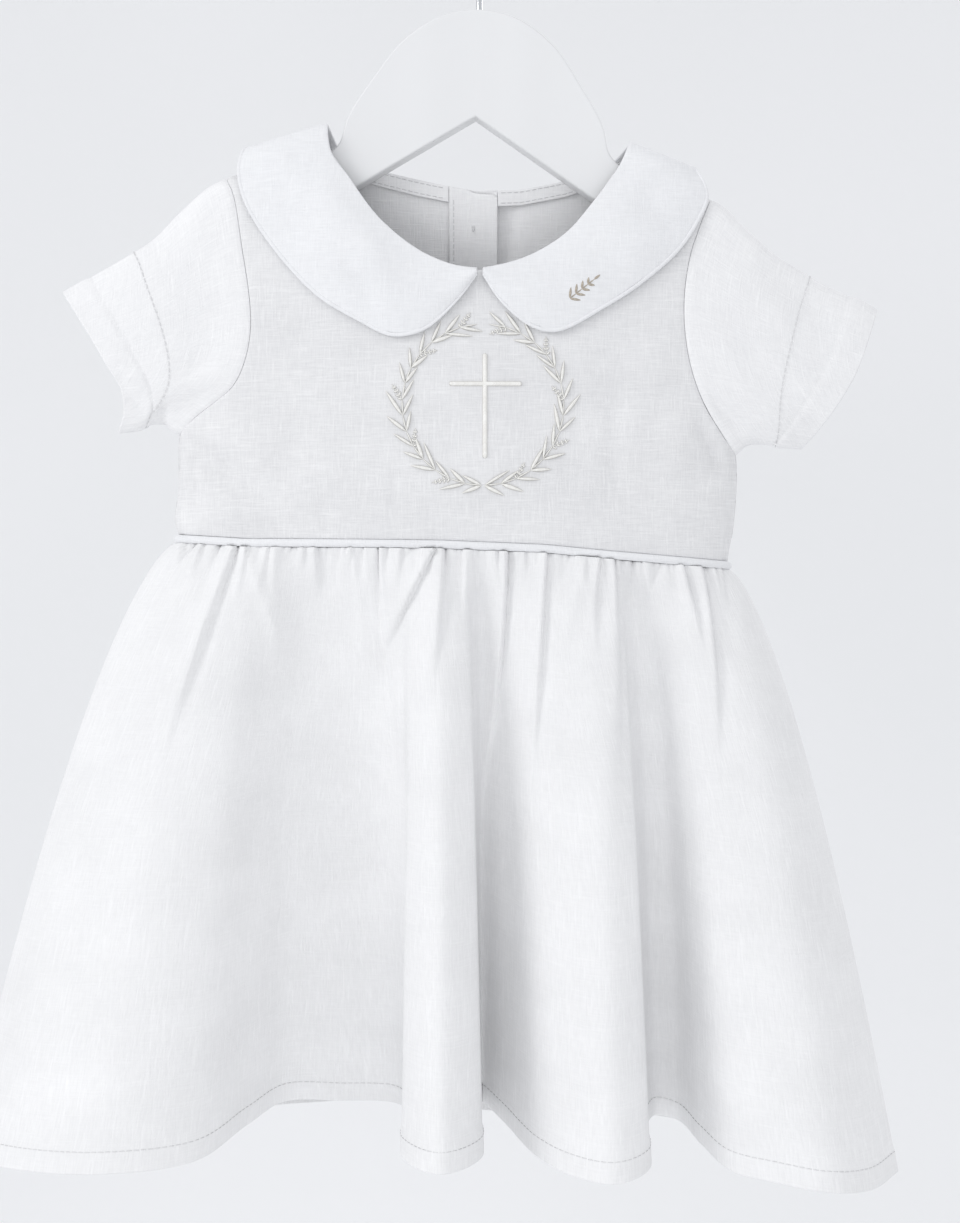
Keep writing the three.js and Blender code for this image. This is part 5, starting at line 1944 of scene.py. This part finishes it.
def binding_stitches(left, right, placket_piece):
    """Two rows along each neck binding, one down the placket's fold and some at each button."""
    made = {}
    for name, piece, from_x, to_x in (
        ("binding_left_stitches", left, 1 - BINDING_SHOWN_X, PLACKET_LEFT_X - 1),
        ("binding_right_stitches", right, PLACKET_RIGHT_X + 1, BINDING_SHOWN_X - 1),
    ):
        surface = Surface(piece)
        x = np.linspace(from_x, to_x, 24)
        made[name] = [stitch for below in BINDING_ROWS
                      for stitch in stitch_line(*seam_on(surface, x, back_neck_z(x) - below),
                                                *INNER_STITCH)]
    surface = Surface(placket_piece)
    x, top_z, foot_z = PLACKET_SEAM
    seam = seam_on(surface, np.full(20, x), np.linspace(top_z, foot_z, 20))
    made["placket_stitches"] = stitch_line(*seam, *INNER_STITCH)
    leans, apart, length, radius = BUTTON_STITCHES
    for middle in BUTTON_ZS:
        for lean in leans:
            place, normal = surface.at(BUTTON_X + lean * apart, middle)
            along = np.array([STITCH_LEAN * lean, 0, 1]) / math.hypot(STITCH_LEAN * lean, 1)
            stitch = capsule(place + normal * 0.1, along, normal, length, radius)
            made["placket_stitches"].append(stitch)
    return made


front = bodice_front()
back_left, back_right = bodice_backs()
binding_left, binding_right, placket = bindings()
collar_left, collar_right = collars()
(sleeve_left, left_cuff_line), (sleeve_right, right_cuff_line) = sleeves()
piping = waist_piping()
(skirt_front, front_hem_line), (skirt_back, back_hem_line) = skirts()
wood, hook = hanger_body(), hanger_hook()
button_pieces, button_threads = buttons()

front_surface = Surface(front)
wreath_piece = wreath(front_surface)
cross_piece = cross(front_surface)
sprig_piece = collar_sprig(Surface(collar_right))
stitches = {
    "sleeve_left_stitches": left_cuff_line,
    "sleeve_right_stitches": right_cuff_line,
    "skirt_front_stitches": front_hem_line,
    "skirt_back_stitches": back_hem_line,
    **binding_stitches(binding_left, binding_right, placket),
}
sewn = {}
for name, parts in stitches.items():
    # The binding and placket stitches take the thread greyed with painted shade
    thread = hem_thread if name.startswith(("sleeve", "skirt")) else painted_shade_seam_thread
    sewn[name] = joined_object(name, parts, thread)

# What each piece replaces
STANDS_FOR = [
    # piece, node, the record's material slot
    (front, "bodice_front", "linen"),
    (back_left, "bodice_back_left", "linen"),
    (back_right, "bodice_back_right", "linen"),
    (binding_left, "binding_left", "binding_linen"),
    (binding_right, "binding_right", "binding_linen"),
    (placket, "placket", "binding_linen"),
    (collar_left, "collar_left", "collar_linen"),
    (collar_right, "collar_right", "collar_linen"),
    (sleeve_left, "sleeve_left", "linen"),
    (sleeve_right, "sleeve_right", "linen"),
    (piping, "waist_piping", "collar_linen"),
    (skirt_front, "skirt_front", "linen"),
    (skirt_back, "skirt_back", "linen"),
    (wood, "hanger_body", "hanger_wood"),
    (hook, "hanger_hook", "hook_steel"),
]
STANDS_FOR += [(piece, f"button_{i + 1}", "button_shell") for i, piece in enumerate(button_pieces)]
for piece, node_name, slot in STANDS_FOR:
    outward(piece)
    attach(piece, "root")
    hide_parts(node_name)

for piece in (wreath_piece, cross_piece, sprig_piece, button_threads, *sewn.values()):
    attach(piece, "root")
